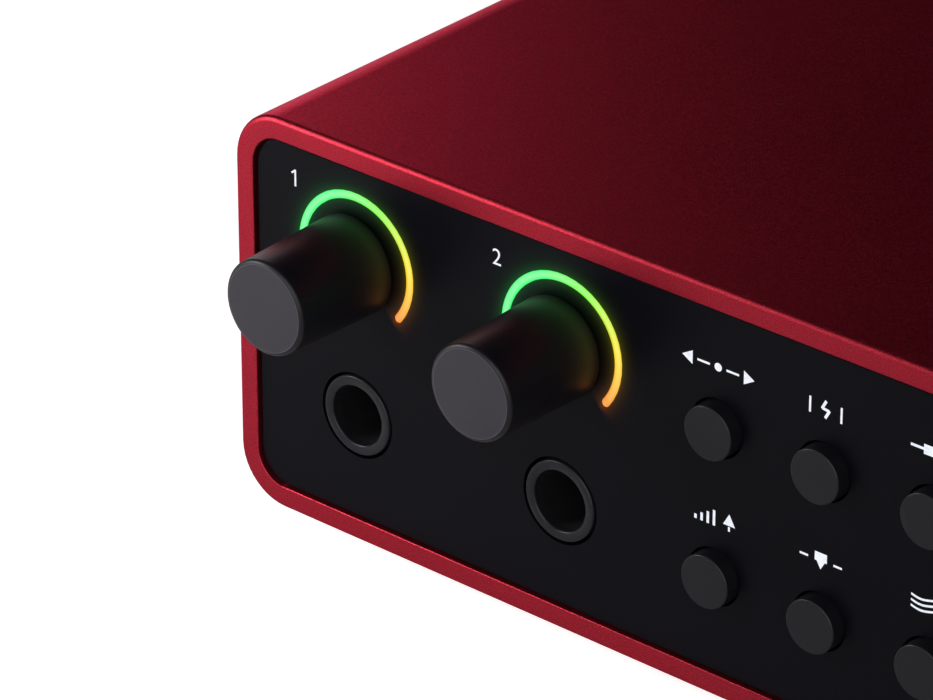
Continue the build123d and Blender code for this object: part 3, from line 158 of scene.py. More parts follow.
class DetailSettings(bpy.types.PropertyGroup):
    """Sizes of the pieces made here."""
    grain: length("Grain", "Grain of the blasted metal", 0.13 * MM)
    cap_round: length("Cap round", "Rounding of a gain knob's front edge", 0.5 * MM)
    cap_foot_round: length("Cap foot round", "Rounding of a gain knob's back edge", 0.25 * MM)
    # painted highlight: the pale ring round a gain knob's face stands for the light caught by its edge
    painted_highlight_ring: length("Face ring", "Width of the pale ring round a gain knob's face", 0.10 * MM)
    bore_radius: length("Bore", "Radius of the hole for the shaft", 3.02 * MM)
    bore_depth: length("Bore depth", "Depth of the hole for the shaft", 9.02 * MM)
    mark_thickness: length("Mark thickness", "How far a lit sign stands off the panel", 0.015 * MM)
    mark_stroke: length("Mark stroke", "Width of a sign's strokes", 0.23 * MM)
    mark_height: length("Mark height", "Height of the signs over the buttons", 1.7 * MM)
    mark_rise: length("Mark rise", "From a button's middle up to its sign", 6.65 * MM)
    digit_height: length("Digit height", "Height of the channel numerals", 1.85 * MM)
    digit_left: length("Digit left", "From a gain knob's middle left to its numeral", 8.35 * MM)
    digit_rise: length("Digit rise", "From a gain knob's middle up to its numeral", 6.8 * MM)
    halo_width: length("Halo width", "Width of a halo's lit band", 0.83 * MM)


def stage_settings():
    """The scene's camera and light settings."""
    return bpy.context.scene.interface_stage


def finish_settings():
    """The scene's colour settings."""
    return bpy.context.scene.interface_finish


def detail_settings():
    """The scene's size settings."""
    return bpy.context.scene.interface_detail


# ---- node helpers ----------------------------------------------------------------------------------------
def add_node(tree, kind, inputs=(), **settings):
    """Adds a node. Inputs pair a socket with a value or with another node's output."""
    node = tree.nodes.new(kind)
    for key, value in settings.items():
        setattr(node, key, value)
    for socket, value in dict(inputs).items():
        if isinstance(value, bpy.types.NodeSocket):
            tree.links.new(value, node.inputs[socket])
        else:
            node.inputs[socket].default_value = value
    return node


def new_finish(name, **shader_values):
    """A material with one Principled shader, its even values set on the shader itself."""
    finish = bpy.data.materials.new(name)
    finish.use_nodes = True
    shader = finish.node_tree.nodes["Principled BSDF"]
    for key, value in shader_values.items():
        shader.inputs[key.replace("_", " ")].default_value = value
    return finish, finish.node_tree, shader


def rgba(shade, scale=1.0):
    """A colour with full alpha, made lighter or darker."""
    return (*(min(1.0, c * scale) for c in shade), 1.0)


def object_place(tree):
    """Object coordinates."""
    return add_node(tree, "ShaderNodeTexCoord").outputs["Object"]


def cloud(tree, place, size, detail=2.0, roughness=0.5):
    """A noise pattern with features of about the given size."""
    node = add_node(tree, "ShaderNodeTexNoise",
                    {"Vector": place, "Scale": 1.0 / size, "Detail": detail, "Roughness": roughness})
    return node.outputs["Fac"]


def maths(tree, operation, first, second=0.0, third=0.0):
    """One sum on numbers or outputs."""
    node = add_node(tree, "ShaderNodeMath", {0: first, 1: second, 2: third}, operation=operation)
    return node.outputs[0]


def remap(tree, value, low, high, to_low, to_high):
    """Stretches a value from one range to another, and stops it at the ends."""
    node = add_node(tree, "ShaderNodeMapRange", {
        "Value": value, "From Min": low, "From Max": high, "To Min": to_low, "To Max": to_high})
    return node.outputs["Result"]


def blend_colours(tree, share, first, second):
    """Mixes two colours or colour outputs."""
    node = tree.nodes.new("ShaderNodeMix")
    node.data_type = "RGBA"
    for index, value in ((0, share), (6, first), (7, second)):
        if isinstance(value, bpy.types.NodeSocket):
            tree.links.new(value, node.inputs[index])
        else:
            node.inputs[index].default_value = value
    return node.outputs[2]


def colour_ramp(tree, share, stops):
    """A ramp of colours along a share from 0 to 1."""
    node = add_node(tree, "ShaderNodeValToRGB", {"Fac": share})
    elements = node.color_ramp.elements
    while len(elements) < len(stops):
        elements.new(0.5)
    for element, (position, shade) in zip(elements, stops):
        element.position = position
        element.color = shade
    return node.outputs["Color"]


def roughen(tree, shader, height, strength, distance):
    """Turns a height pattern into small bumps on a shader."""
    bump = add_node(tree, "ShaderNodeBump", {"Height": height, "Strength": strength, "Distance": distance})
    tree.links.new(bump.outputs["Normal"], shader.inputs["Normal"])


# ---- finishes ----------------------------------------------------------------------------------------------
def grained_finish(name, shade, roughness, grain, spread=0.12, bump=0.25, **shader_values):
    """A fine-grained surface: its colour, gloss and height all vary a little."""
    finish, tree, shader = new_finish(name, **shader_values)
    place = object_place(tree)
    fine = cloud(tree, place, grain)
    broad = cloud(tree, place, grain * 60, detail=3.0)
    mixed = maths(tree, "MULTIPLY_ADD", broad, 0.35, maths(tree, "MULTIPLY", fine, 0.65))
    tone = remap(tree, mixed, 0.3, 0.7, 0.0, 1.0)
    tree.links.new(blend_colours(tree, tone, rgba(shade, 1 - spread), rgba(shade, 1 + spread)),
                   shader.inputs["Base Color"])
    tree.links.new(remap(tree, mixed, 0.3, 0.7, roughness * (1 + spread), roughness * (1 - spread)),
                   shader.inputs["Roughness"])
    roughen(tree, shader, fine, bump, grain * 0.5)
    return finish


def anodised_finish():
    """Bead-blasted, dyed aluminium: a sparkling grain over a soft metal sheen."""
    shade, grain = finish_settings().anodised, detail_settings().grain
    finish, tree, shader = new_finish("anodised_metal", Metallic=1.0, Specular_Tint=(1.0, 0.5, 0.6, 1.0))
    place = object_place(tree)
    fine = cloud(tree, place, grain, detail=3.0, roughness=0.6)
    pits = cloud(tree, place, grain * 2.6, detail=2.0)
    broad = cloud(tree, place, grain * 320, detail=2.0)
    sparkle = remap(tree, fine, 0.36, 0.66, 0.0, 1.0)
    tree.links.new(blend_colours(tree, sparkle, rgba(shade, 0.68), rgba(shade, 1.36)),
                   shader.inputs["Base Color"])
    gloss = maths(tree, "ADD", remap(tree, pits, 0.3, 0.7, 0.48, 0.40), remap(tree, broad, 0.3, 0.7, -0.015, 0.015))
    tree.links.new(gloss, shader.inputs["Roughness"])
    height = maths(tree, "MULTIPLY_ADD", pits, 0.7, maths(tree, "MULTIPLY", fine, 0.5))
    roughen(tree, shader, height, 0.4, grain * 0.14)
    return finish


def halo_share(tree, place, halo):
    """A point's share of the way round a halo from its right end, its distance out, and its turn from the top."""
    centre = middle(HALO_KNOBS[halo])
    parts = add_node(tree, "ShaderNodeSeparateXYZ", {0: place})
    across = maths(tree, "SUBTRACT", parts.outputs["X"], centre.x)
    up = maths(tree, "SUBTRACT", parts.outputs["Z"], centre.z)
    turn = maths(tree, "ARCTAN2", maths(tree, "MULTIPLY", across, -1.0), up)
    share = remap(tree, turn, -HALO_REACH, HALO_REACH, 0.0, 1.0)
    out = maths(tree, "SQRT", maths(tree, "MULTIPLY_ADD", across, across, maths(tree, "MULTIPLY", up, up)))
    return share, out, turn


def off_middle_line(tree, halo, out):
    """How far a distance out is from the middle line of a halo's lit band."""
    radius = span(halo).x / 2 - detail_settings().halo_width / 2
    return maths(tree, "ABSOLUTE", maths(tree, "SUBTRACT", out, radius))


def halo_colours(tree, share, pale):
    """The lit colours along a halo, mixed towards white by the share called pale, least at its right end."""
    settings = finish_settings()
    stops = []
    for position, shade in ((0.0, settings.halo_end), (0.19, settings.halo_late),
                            (0.40, settings.halo_middle), (0.58, settings.halo_start)):
        white = pale * (0.3 + 1.2 * position)
        stops.append((position, tuple(c + (1.0 - c) * white for c in shade) + (1.0,)))
    return colour_ramp(tree, share, stops)


def halo_finish(halo):
    """A frosted light guide, lit from behind: pale along its middle and saturated at its edges."""
    finish, tree, shader = new_finish("lit_" + halo, Roughness=0.35)
    place = object_place(tree)
    share, out, _ = halo_share(tree, place, halo)
    off = off_middle_line(tree, halo, out)
    edge = remap(tree, off, HALO_CORE, HALO_EDGE, 0.0, 1.0)
    frost = cloud(tree, place, 0.25 * MM)
    lit = blend_colours(tree, edge, halo_colours(tree, share, 0.17), halo_colours(tree, share, 0.0))
    strength = maths(tree, "ADD", remap(tree, edge, 0.0, 1.0, 1.12, 0.9), remap(tree, frost, 0.3, 0.7, -0.03, 0.03))
    tree.links.new(lit, shader.inputs["Emission Color"])
    tree.links.new(strength, shader.inputs["Emission Strength"])
    tree.links.new(blend_colours(tree, frost, (0.02, 0.02, 0.02, 1), (0.05, 0.05, 0.05, 1)),
                   shader.inputs["Base Color"])
    roughen(tree, shader, frost, 0.1, 0.02 * MM)
    return finish


def spilt_light(tree, place, halo):
    """The light that a halo spills into the panel's skin beside it: a colour and its strength."""
    share, out, turn = halo_share(tree, place, halo)
    off = off_middle_line(tree, halo, out)
    fall = maths(tree, "POWER", math.e, maths(tree, "MULTIPLY", off, -1.0 / SPILL_FALL))
    inside = remap(tree, maths(tree, "ABSOLUTE", turn), HALO_REACH, HALO_REACH + SPILL_END, 1.0, 0.0)
    return halo_colours(tree, share, 0.0), maths(tree, "MULTIPLY", fall, inside)


def fascia_finish():
    """Black satin moulding, with each halo's light spilt softly beside it."""
    finish, tree, shader = new_finish("black_fascia", Specular_IOR_Level=0.10, Emission_Strength=0.13)
    place = object_place(tree)
    fine = cloud(tree, place, 0.16 * MM)
    broad = cloud(tree, place, 18 * MM, detail=3.0)
    shade = finish_settings().fascia
    tree.links.new(blend_colours(tree, fine, rgba(shade, 0.85), rgba(shade, 1.15)), shader.inputs["Base Color"])
    gloss = maths(tree, "ADD", remap(tree, fine, 0.3, 0.7, 0.36, 0.42), remap(tree, broad, 0.3, 0.7, -0.02, 0.02))
    tree.links.new(gloss, shader.inputs["Roughness"])
    roughen(tree, shader, fine, 0.08, 0.03 * MM)
    total = (0.0, 0.0, 0.0, 1.0)
    for halo in HALOS:
        lit, strength = spilt_light(tree, place, halo)
        total = blend_colours(tree, strength, total, lit)
    tree.links.new(total, shader.inputs["Emission Color"])
    return finish


def lit_finish(name, shade, strength):
    """A lit sign behind the panel's skin."""
    finish, tree, shader = new_finish(name, Base_Color=(0.02, 0.02, 0.02, 1.0), Roughness=0.4)
    place = object_place(tree)
    mottle = cloud(tree, place, 0.3 * MM)
    tree.links.new(blend_colours(tree, mottle, rgba(shade, 0.9), rgba(shade, 1.1)),
                   shader.inputs["Emission Color"])
    tree.links.new(remap(tree, mottle, 0.3, 0.7, strength * 0.94, strength * 1.06),
                   shader.inputs["Emission Strength"])
    roughen(tree, shader, mottle, 0.05, 0.01 * MM)
    return finish


def jack_finish():
    """Moulded collar, with painted shade that turns its bore black a little way in from the mouth."""
    finish, tree, shader = new_finish("jack_moulding", Specular_IOR_Level=0.3)
    place = object_place(tree)
    fine = cloud(tree, place, 0.2 * MM)
    parts = add_node(tree, "ShaderNodeSeparateXYZ", {0: place})
    length_in = maths(tree, "ABSOLUTE", parts.outputs["Y"])
    front, rear = abs(PANEL_Y), REAR_PANEL_Y
    front_shade_free = remap(tree, length_in, front - BORE_PAINTED_SHADE_END, front - BORE_PAINTED_SHADE_START, 0.0, 1.0)
    rear_shade_free = remap(tree, length_in, rear - BORE_PAINTED_SHADE_END, rear - BORE_PAINTED_SHADE_START, 0.0, 1.0)
    at_rear = maths(tree, "GREATER_THAN", parts.outputs["Y"], 0.0)
    # the collar's own colour share: 1 at the mouth, falling to 0 where the bore's painted shade is full
    collar = maths(tree, "ADD", maths(tree, "MULTIPLY", at_rear, rear_shade_free),
                   maths(tree, "MULTIPLY", maths(tree, "SUBTRACT", 1.0, at_rear), front_shade_free))
    settings = finish_settings()
    grained = blend_colours(tree, fine, rgba(settings.collar, 0.88), rgba(settings.collar, 1.12))
    # painted shade: the bore colour takes over from the grained collar colour deeper in
    tree.links.new(blend_colours(tree, collar, rgba(settings.bore), grained), shader.inputs["Base Color"])
    gloss = maths(tree, "ADD", remap(tree, fine, 0.3, 0.7, 0.30, 0.36),
                  remap(tree, collar, 0.0, 1.0, BORE_DULLNESS, 0.0))
    tree.links.new(gloss, shader.inputs["Roughness"])
    roughen(tree, shader, fine, 0.12, 0.05 * MM)
    return finish


def metal_finish(name, shade, roughness, grain=0.2 * MM):
    """Plain metal with fine wear."""
    return grained_finish(name, shade, roughness, grain, spread=0.10, bump=0.12, Metallic=1.0)


def board_finish():
    """A circuit board: green mask over a pattern of tracks."""
    finish, tree, shader = new_finish("circuit_board", Roughness=0.35, Coat_Weight=0.3)
    place = object_place(tree)
    tracks = add_node(tree, "ShaderNodeTexVoronoi", {"Vector": place, "Scale": 420.0}, distance="MANHATTAN",
                      feature="F1")
    line = remap(tree, tracks.outputs["Distance"], 0.42, 0.5, 0.0, 1.0)
    tree.links.new(blend_colours(tree, line, (0.005, 0.05, 0.025, 1), (0.02, 0.13, 0.06, 1)),
                   shader.inputs["Base Color"])
    roughen(tree, shader, line, 0.2, 0.02 * MM)
    return finish


# ---- modelling helpers ---------------------------------------------------------------------------------------
def clear_selection():
    """Leaves edit mode, with nothing selected."""
    if bpy.context.object and bpy.context.object.mode != "OBJECT":
        bpy.ops.object.mode_set(mode="OBJECT")
    bpy.ops.object.select_all(action="DESELECT")


def make_active(piece):
    """Selects one piece alone."""
    clear_selection()
    piece.select_set(True)
    bpy.context.view_layer.objects.active = piece


def named(name):
    """Names the piece that was just added."""
    piece = bpy.context.active_object
    piece.name = name
    piece.data.name = name
    return piece


def settle(piece):
    """Moves a piece's place, turn and scale into its mesh."""
    make_active(piece)
    bpy.ops.object.transform_apply(location=True, rotation=True, scale=True)
    return piece


def pick(piece, kind, test):
    """In edit mode, selects only the faces, edges or vertices that pass a test."""
    bpy.ops.mesh.select_mode(type=kind)
    bpy.ops.mesh.select_all(action="DESELECT")
    mesh = bmesh.from_edit_mesh(piece.data)
    for item in {"FACE": mesh.faces, "EDGE": mesh.edges, "VERT": mesh.verts}[kind]:
        if test(item):
            item.select_set(True)
    mesh.select_flush_mode()
    bmesh.update_edit_mesh(piece.data)


def wear(piece, *finishes):
    """Gives a piece its materials."""
    piece.data.materials.clear()
    for finish in finishes:
        piece.data.materials.append(finish)


def body_of(node):
    """The body that a node rides on."""
    return next(body for body, nodes in frame["record"]["behaviour"]["bodies"].items() if node in nodes)


def stand_in(piece, node):
    """The piece takes a node's place on the same body, and the node is hidden."""
    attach(piece, body_of(node))
    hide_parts(node)
    return piece


def smooth_copy(node, finish, angle=SMOOTH_DEG):
    """A merged copy of a node's mesh: round surfaces shaded smooth, and large flat ones kept flat."""
    source = frame["nodes"][node]
    clear_selection()
    piece = bpy.data.objects.new(node + "_shell", source.data.copy())
    bpy.context.scene.collection.objects.link(piece)
    make_active(piece)
    bpy.ops.object.mode_set(mode="EDIT")
    bpy.ops.mesh.select_all(action="SELECT")
    bpy.ops.mesh.remove_doubles(threshold=MERGE_DISTANCE)
    bpy.ops.object.mode_set(mode="OBJECT")
    bpy.ops.object.shade_smooth_by_angle(angle=math.radians(angle))
    weights = piece.modifiers.new("weights", "WEIGHTED_NORMAL")
    weights.keep_sharp = True
    bpy.ops.object.modifier_apply(modifier=weights.name)
    wear(piece, finish)
    return stand_in(piece, node)


# ---- pieces ----------------------------------------------------------------------------------------------------
def gain_cap(node, side, face, highlight_ring_finish):
    """A turned cap: tapered, with a rounded front edge round a grained face, and a hole for its shaft. The outer
    band of the face is a painted highlight: a paler finish where the edge catches the light.
    """
    settings = detail_settings()
    low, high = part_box(node)
    centre = (low + high) / 2
    back_radius = (high.x - low.x) / 2
    front_radius = back_radius - CAP_TAPER
    clear_selection()
    bpy.ops.mesh.primitive_cone_add(vertices=160, radius1=back_radius, radius2=front_radius,
                                    depth=high.y - low.y, location=centre, rotation=(math.pi / 2, 0, 0))
    piece = settle(named(node + "_cap"))
    bpy.ops.object.mode_set(mode="EDIT")
    pick(piece, "FACE", lambda f: f.normal.y > 0.9)
    bpy.ops.mesh.inset(thickness=back_radius - settings.bore_radius)
    bpy.ops.mesh.extrude_region_move(TRANSFORM_OT_translate={"value": (0, -settings.bore_depth, 0)})
    near = 0.01 * MM
    pick(piece, "EDGE", lambda e: all(abs(v.co.y - low.y) < near for v in e.verts))
    bpy.ops.mesh.bevel(offset=settings.cap_round, segments=8, affect="EDGES")
    pick(piece, "EDGE", lambda e: all(abs(v.co.y - high.y) < near for v in e.verts)
         and all(math.hypot(v.co.x - centre.x, v.co.z - centre.z) > back_radius - near for v in e.verts))
    bpy.ops.mesh.bevel(offset=settings.cap_foot_round, segments=4, affect="EDGES")
    bpy.ops.mesh.select_all(action="SELECT")
    bpy.ops.mesh.normals_make_consistent(inside=False)
    wear(piece, side, face, highlight_ring_finish)
    # the whole face first takes the painted highlight finish; the inset middle then takes the face finish, which
    # leaves a painted highlight ring
    pick(piece, "FACE", lambda f: f.normal.y < -0.99 and abs(f.calc_center_median().y - low.y) < near)
    piece.active_material_index = 2
    bpy.ops.object.material_slot_assign()
    bpy.ops.mesh.inset(thickness=settings.painted_highlight_ring)
    piece.active_material_index = 1
    bpy.ops.object.material_slot_assign()
    bpy.ops.object.mode_set(mode="OBJECT")
    bpy.ops.object.shade_smooth_by_angle(angle=math.radians(30))
    return stand_in(piece, node)


def onto_panel(piece, x, z):
    """Stands a sign that was drawn flat against the panel, its middle at the place given."""
    settings = detail_settings()
    low = Vector(map(min, zip(*(v.co for v in piece.data.vertices))))
    high = Vector(map(max, zip(*(v.co for v in piece.data.vertices))))
    thick = piece.modifiers.new("thickness", "SOLIDIFY")
    thick.thickness = settings.mark_thickness
    thick.offset = 1.0
    make_active(piece)
    bpy.ops.object.modifier_apply(modifier=thick.name)
    centre = (low + high) / 2
    piece.rotation_euler = (math.pi / 2, 0, 0)
    piece.location = (x - centre.x, PANEL_Y, z - centre.y)
    settle(piece)
    bpy.ops.object.mode_set(mode="EDIT")
    bpy.ops.mesh.select_all(action="SELECT")
    bpy.ops.mesh.normals_make_consistent(inside=False)
    bpy.ops.object.mode_set(mode="OBJECT")
    wear(piece, bpy.data.materials["lit_sign"])
    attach(piece, "base")
    return piece


def numeral_two(x, z):
    """A plain lit numeral two."""
    clear_selection()
    bpy.ops.object.text_add()
    sign = bpy.context.active_object
    sign.data.body = "2"
    sign.data.size = detail_settings().digit_height * 1.38
    sign.data.offset = -0.012 * MM
    bpy.ops.object.convert(target="MESH")
    return onto_panel(named("numeral_two"), x, z)


def bar(x, y, width, height, turn=0.0):
    """One straight stroke of a sign, drawn flat."""
    clear_selection()
    bpy.ops.mesh.primitive_plane_add(size=1.0, location=(x, y, 0))
    piece = bpy.context.active_object
    piece.scale = (width, height, 1.0)
    piece.rotation_euler = (0, 0, turn)
    return settle(piece)


def wedge(x, y, radius, turn, corners=3):
    """A filled triangle or disc of a sign, drawn flat."""
    clear_selection()
    bpy.ops.mesh.primitive_circle_add(vertices=corners, radius=radius, fill_type="NGON",
                                      location=(x, y, 0), rotation=(0, 0, turn))
    return settle(bpy.context.active_object)


def wave(x, y, width, height, stroke):
    """A wavy stroke of a sign."""
    clear_selection()
    bpy.ops.mesh.primitive_grid_add(x_subdivisions=36, y_subdivisions=1, size=1.0, location=(0, 0, 0))
    piece = bpy.context.active_object
    piece.scale = (width, stroke, 1.0)
    settle(piece)
    for vertex in piece.data.vertices:
        vertex.co.y += height / 2 * math.sin(vertex.co.x / width * 2 * math.pi)
        vertex.co.x += x
        vertex.co.y += y
    return piece


def joined(strokes, name):
    """Joins a sign's strokes into one piece."""
    clear_selection()
    for stroke in strokes:
        stroke.select_set(True)
    bpy.context.view_layer.objects.active = strokes[0]
    bpy.ops.object.join()
    return named(name)


def numeral_one(x, z):
    """A plain lit numeral one: an upright with a short flag."""
    h, s = detail_settings().digit_height, detail_settings().mark_stroke
    flag = bar(-0.13 * h, 0.36 * h, s * 0.9, 0.36 * h, math.radians(-52))
    return onto_panel(joined([bar(0, 0, s, h), flag], "numeral_one"), x, z)


def sign_over(button, strokes):
    """Stands a sign over its button."""
    centre = middle(button)
    piece = joined(strokes, button.replace("_button", "_sign"))
    return onto_panel(piece, centre.x, centre.z + detail_settings().mark_rise)


def select_strokes(h, s):
    """Two arrowheads either side of a dot."""
    return [wedge(-2.1 * h, 0, 0.5 * h, math.radians(90)), wedge(0, 0, 0.26 * h, 0, corners=32),
            wedge(2.1 * h, 0, 0.5 * h, math.radians(-90)),
            bar(-1.05 * h, 0, 0.9 * h, s), bar(1.05 * h, 0, 0.9 * h, s)]


def phantom_strokes(h, s):
    """A lightning bolt between two uprights."""
    return [bar(-0.12 * h, 0.27 * h, s * 1.3, 0.62 * h, math.radians(-28)),
            bar(0, 0, 0.5 * h, s * 1.3, math.radians(-8)),
            bar(0.12 * h, -0.27 * h, s * 1.3, 0.62 * h, math.radians(-28)),
            bar(-1.1 * h, 0, s, h), bar(1.1 * h, 0, s, h)]


def instrument_strokes(h, s):
    """A plug with its lead."""
    return [bar(-1.1 * h, 0, 0.9 * h, s * 1.2), bar(-0.2 * h, 0, 0.9 * h, 0.62 * h),
            bar(0.5 * h, 0, 0.5 * h, 0.34 * h), wave(1.35 * h, 0, 1.2 * h, 0.5 * h, s)]


def auto_strokes(h, s):
    """Rising bars beside an arrowhead."""
    strokes = [bar((-1.3 + 0.45 * i) * h, (-0.36 + 0.12 * i) * h, s * 1.3, (0.28 + 0.24 * i) * h) for i in range(4)]
    return [*strokes, wedge(1.15 * h, 0.12 * h, 0.5 * h, 0), bar(1.15 * h, -0.35 * h, s, 0.3 * h)]


def safe_strokes(h, s):
    """A shield: a flat top over a point, with a bar each side."""
    return [bar(0, 0.2 * h, 0.86 * h, 0.56 * h), wedge(0, -0.08 * h, 0.497 * h, math.radians(60)),
            bar(-1.2 * h, 0, 0.6 * h, s), bar(1.2 * h, 0, 0.6 * h, s)]


def voicing_strokes(h, s):
    """Three waves, one over the other."""
    return [wave(0, rise * 0.36 * h, 2.6 * h, 0.24 * h, s) for rise in (-1, 0, 1)]


# ---- operators: one for each group of pieces ----------------------------------------------------------------------
class BuildStage(bpy.types.Operator):
    """Makes the floor, the lamps, the room and the camera"""
    bl_idname = "interface.build_stage"
    bl_label = "Stage"

    def execute(self, context):
        build_floor()
        build_room()
        build_lamps()
        build_camera()
        return {"FINISHED"}


def build_floor():
    """A plain pale floor, white where nothing shades it."""
    clear_selection()
    bpy.ops.mesh.primitive_circle_add(vertices=96, radius=7.0, fill_type="NGON", location=(0, 0, 0))
    floor = named("floor")
    finish, tree, shader = new_finish("pale_floor", Roughness=0.9, Specular_IOR_Level=0.1)
    shade = stage_settings().floor_colour
    place = object_place(tree)
    mottle = cloud(tree, place, 0.4)
    tree.links.new(blend_colours(tree, mottle, rgba(shade, 0.99), rgba(shade, 1.01)), shader.inputs["Base Color"])
    rays = add_node(tree, "ShaderNodeLightPath")
    glow = add_node(tree, "ShaderNodeEmission", {"Color": (1, 1, 1, 1)})
    through = maths(tree, "MAXIMUM", rays.outputs["Is Glossy Ray"], rays.outputs["Is Transmission Ray"])
    seen = maths(tree, "MULTIPLY", rays.outputs["Is Camera Ray"], FLOOR_SEEN)
    tree.links.new(maths(tree, "MULTIPLY_ADD", through, FLOOR_REFLECTED, seen), glow.inputs["Strength"])
    both = add_node(tree, "ShaderNodeAddShader", {0: shader.outputs[0], 1: glow.outputs[0]})
    tree.links.new(both.outputs[0], tree.nodes["Material Output"].inputs["Surface"])
    wear(floor, finish)


def build_room():
    """A room that looks white to the camera and near the horizon, and is dim overhead."""
    room = bpy.data.worlds.new("room")
    bpy.context.scene.world = room
    room.use_nodes = True
    tree = room.node_tree
    background = tree.nodes["Background"]
    ceiling = stage_settings().ceiling
    parts = add_node(tree, "ShaderNodeSeparateXYZ", {0: add_node(tree, "ShaderNodeTexCoord").outputs["Generated"]})
    tree.links.new(remap(tree, parts.outputs["Z"], 0.02, 0.10, 1.0, ceiling), background.inputs["Strength"])
    background.inputs["Color"].default_value = (1, 1, 1, 1)


def add_lamp(name, place, aim, size, depth, power):
    """A soft rectangular lamp that faces a point."""
    lamp = bpy.data.lights.new(name, "AREA")
    lamp.shape = "RECTANGLE"
    lamp.size, lamp.size_y, lamp.energy = size, depth, power
    holder = bpy.data.objects.new(name, lamp)
    bpy.context.scene.collection.objects.link(holder)
    holder.location = place
    holder.rotation_euler = (Vector(aim) - Vector(place)).to_track_quat("-Z", "Y").to_euler()
    holder.visible_camera = False
    return holder


def build_lamps():
    """A broad softbox over the front, two small boxes at the front left and one behind on the left."""
    add_lamp("front_box", (0.9, -2.0, 0.95), (0, 0, 0), 3.2, 1.9, 34.0)
    add_lamp("front_strip", (-0.30, -0.22, 0.14), (-0.10, -0.075, 0.045), 0.10, 0.05, 0.22)
    add_lamp("low_box", (-0.165, -0.16, 0.06), (-0.10, -0.08, 0.045), 0.05, 0.04, 0.034)
    add_lamp("left_box", (-0.39, 0.16, 0.16), (-0.10, 0.0, 0.045), 0.10, 0.28, 0.118)


def build_camera():
    """A long lens that looks down on the left end of the front."""
    settings = stage_settings()
    aim = Vector((SLEEVE_LOW.x + settings.aim_in, SLEEVE_LOW.y + 0.45 * MM, SLEEVE_LOW.z + settings.aim_up))
    flat = math.cos(settings.elevation)
    back = Vector((math.sin(settings.azimuth) * flat, -math.cos(settings.azimuth) * flat,
                   math.sin(settings.elevation)))
    data = bpy.data.cameras.new("camera")
    data.lens = settings.lens
    data.clip_start, data.clip_end = 0.01, 50.0
    camera = bpy.data.objects.new("camera", data)
    bpy.context.scene.collection.objects.link(camera)
    camera.location = aim + back * settings.distance
    camera.rotation_euler = (-back).to_track_quat("-Z", "Y").to_euler()
    bpy.context.scene.camera = camera
    bpy.context.scene.view_settings.view_transform = "Standard"


class BuildCase(bpy.types.Operator):
    """Finishes the sleeve, both panels and the feet"""
    bl_idname = "interface.build_case"
    bl_label = "Case and panels"

    def execute(self, context):
        smooth_copy("case_sleeve", anodised_finish())
        smooth_copy("front_panel", fascia_finish(), PANEL_SMOOTH_DEG)
        rear = grained_finish("rear_coat", (0.014, 0.014, 0.017), 0.5, 0.3 * MM, bump=0.35)
        smooth_copy("rear_panel", rear, PANEL_SMOOTH_DEG)
        rubber = grained_finish("foot_rubber", (0.012, 0.012, 0.013), 0.75, 0.35 * MM, bump=0.5)
        smooth_copy("rubber_feet", rubber)
        return {"FINISHED"}


class BuildKnobs(bpy.types.Operator):
    """Makes the gain knobs and finishes the other rotary controls"""
    bl_idname = "interface.build_knobs"
    bl_label = "Knobs"

    def execute(self, context):
        colours = finish_settings()
        soft = grained_finish("soft_touch", colours.knob, 0.42, 0.14 * MM, bump=0.12, Specular_IOR_Level=0.4)
        # the face finish is the black soft-touch made paler, as painted light on the front faces
        face = grained_finish("grained_face_painted_light", colours.knob_face_painted_light, 0.5, 0.14 * MM, spread=0.16, bump=0.22)
        # a paler copy of the face colour, painted as the highlight along the face's edge
        highlight_ring = grained_finish("painted_highlight_ring", tuple(PAINTED_HIGHLIGHT_RING_LIFT * c for c in colours.knob_face_painted_light), 0.35, 0.14 * MM)
        for node in GAIN_KNOBS:
            gain_cap(node, soft, face, highlight_ring)
        for node in ("output_knob", "headphone_knob"):
            smooth_copy(node, soft)
        turned = metal_finish("turned_steel", (0.45, 0.45, 0.47), 0.3)
        for node in ("gain_shaft_1", "gain_shaft_2", "output_shaft", "headphone_shaft"):
            smooth_copy(node, turned)
        cast = metal_finish("cast_housing", (0.35, 0.35, 0.37), 0.42)
        for node in ("gain_encoders", "output_encoder", "headphone_potentiometer"):
            smooth_copy(node, cast)
        return {"FINISHED"}


class BuildHalos(bpy.types.Operator):
    """Lights the halos round the knobs"""
    bl_idname = "interface.build_halos"
    bl_label = "Halos"

    def execute(self, context):
        for node in HALOS:
            smooth_copy(node, halo_finish(node))
        return {"FINISHED"}


class BuildButtons(bpy.types.Operator):
    """Finishes the push buttons and their switches"""
    bl_idname = "interface.build_buttons"
    bl_label = "Buttons"

    def execute(self, context):
        satin = grained_finish("button_satin", finish_settings().button, 0.40, 0.13 * MM, bump=0.15,
                               Specular_IOR_Level=0.35)
        for node in BUTTONS:
            smooth_copy(node, satin)
        smooth_copy("tactile_switches", bpy.data.materials["dark_moulding"])
        return {"FINISHED"}


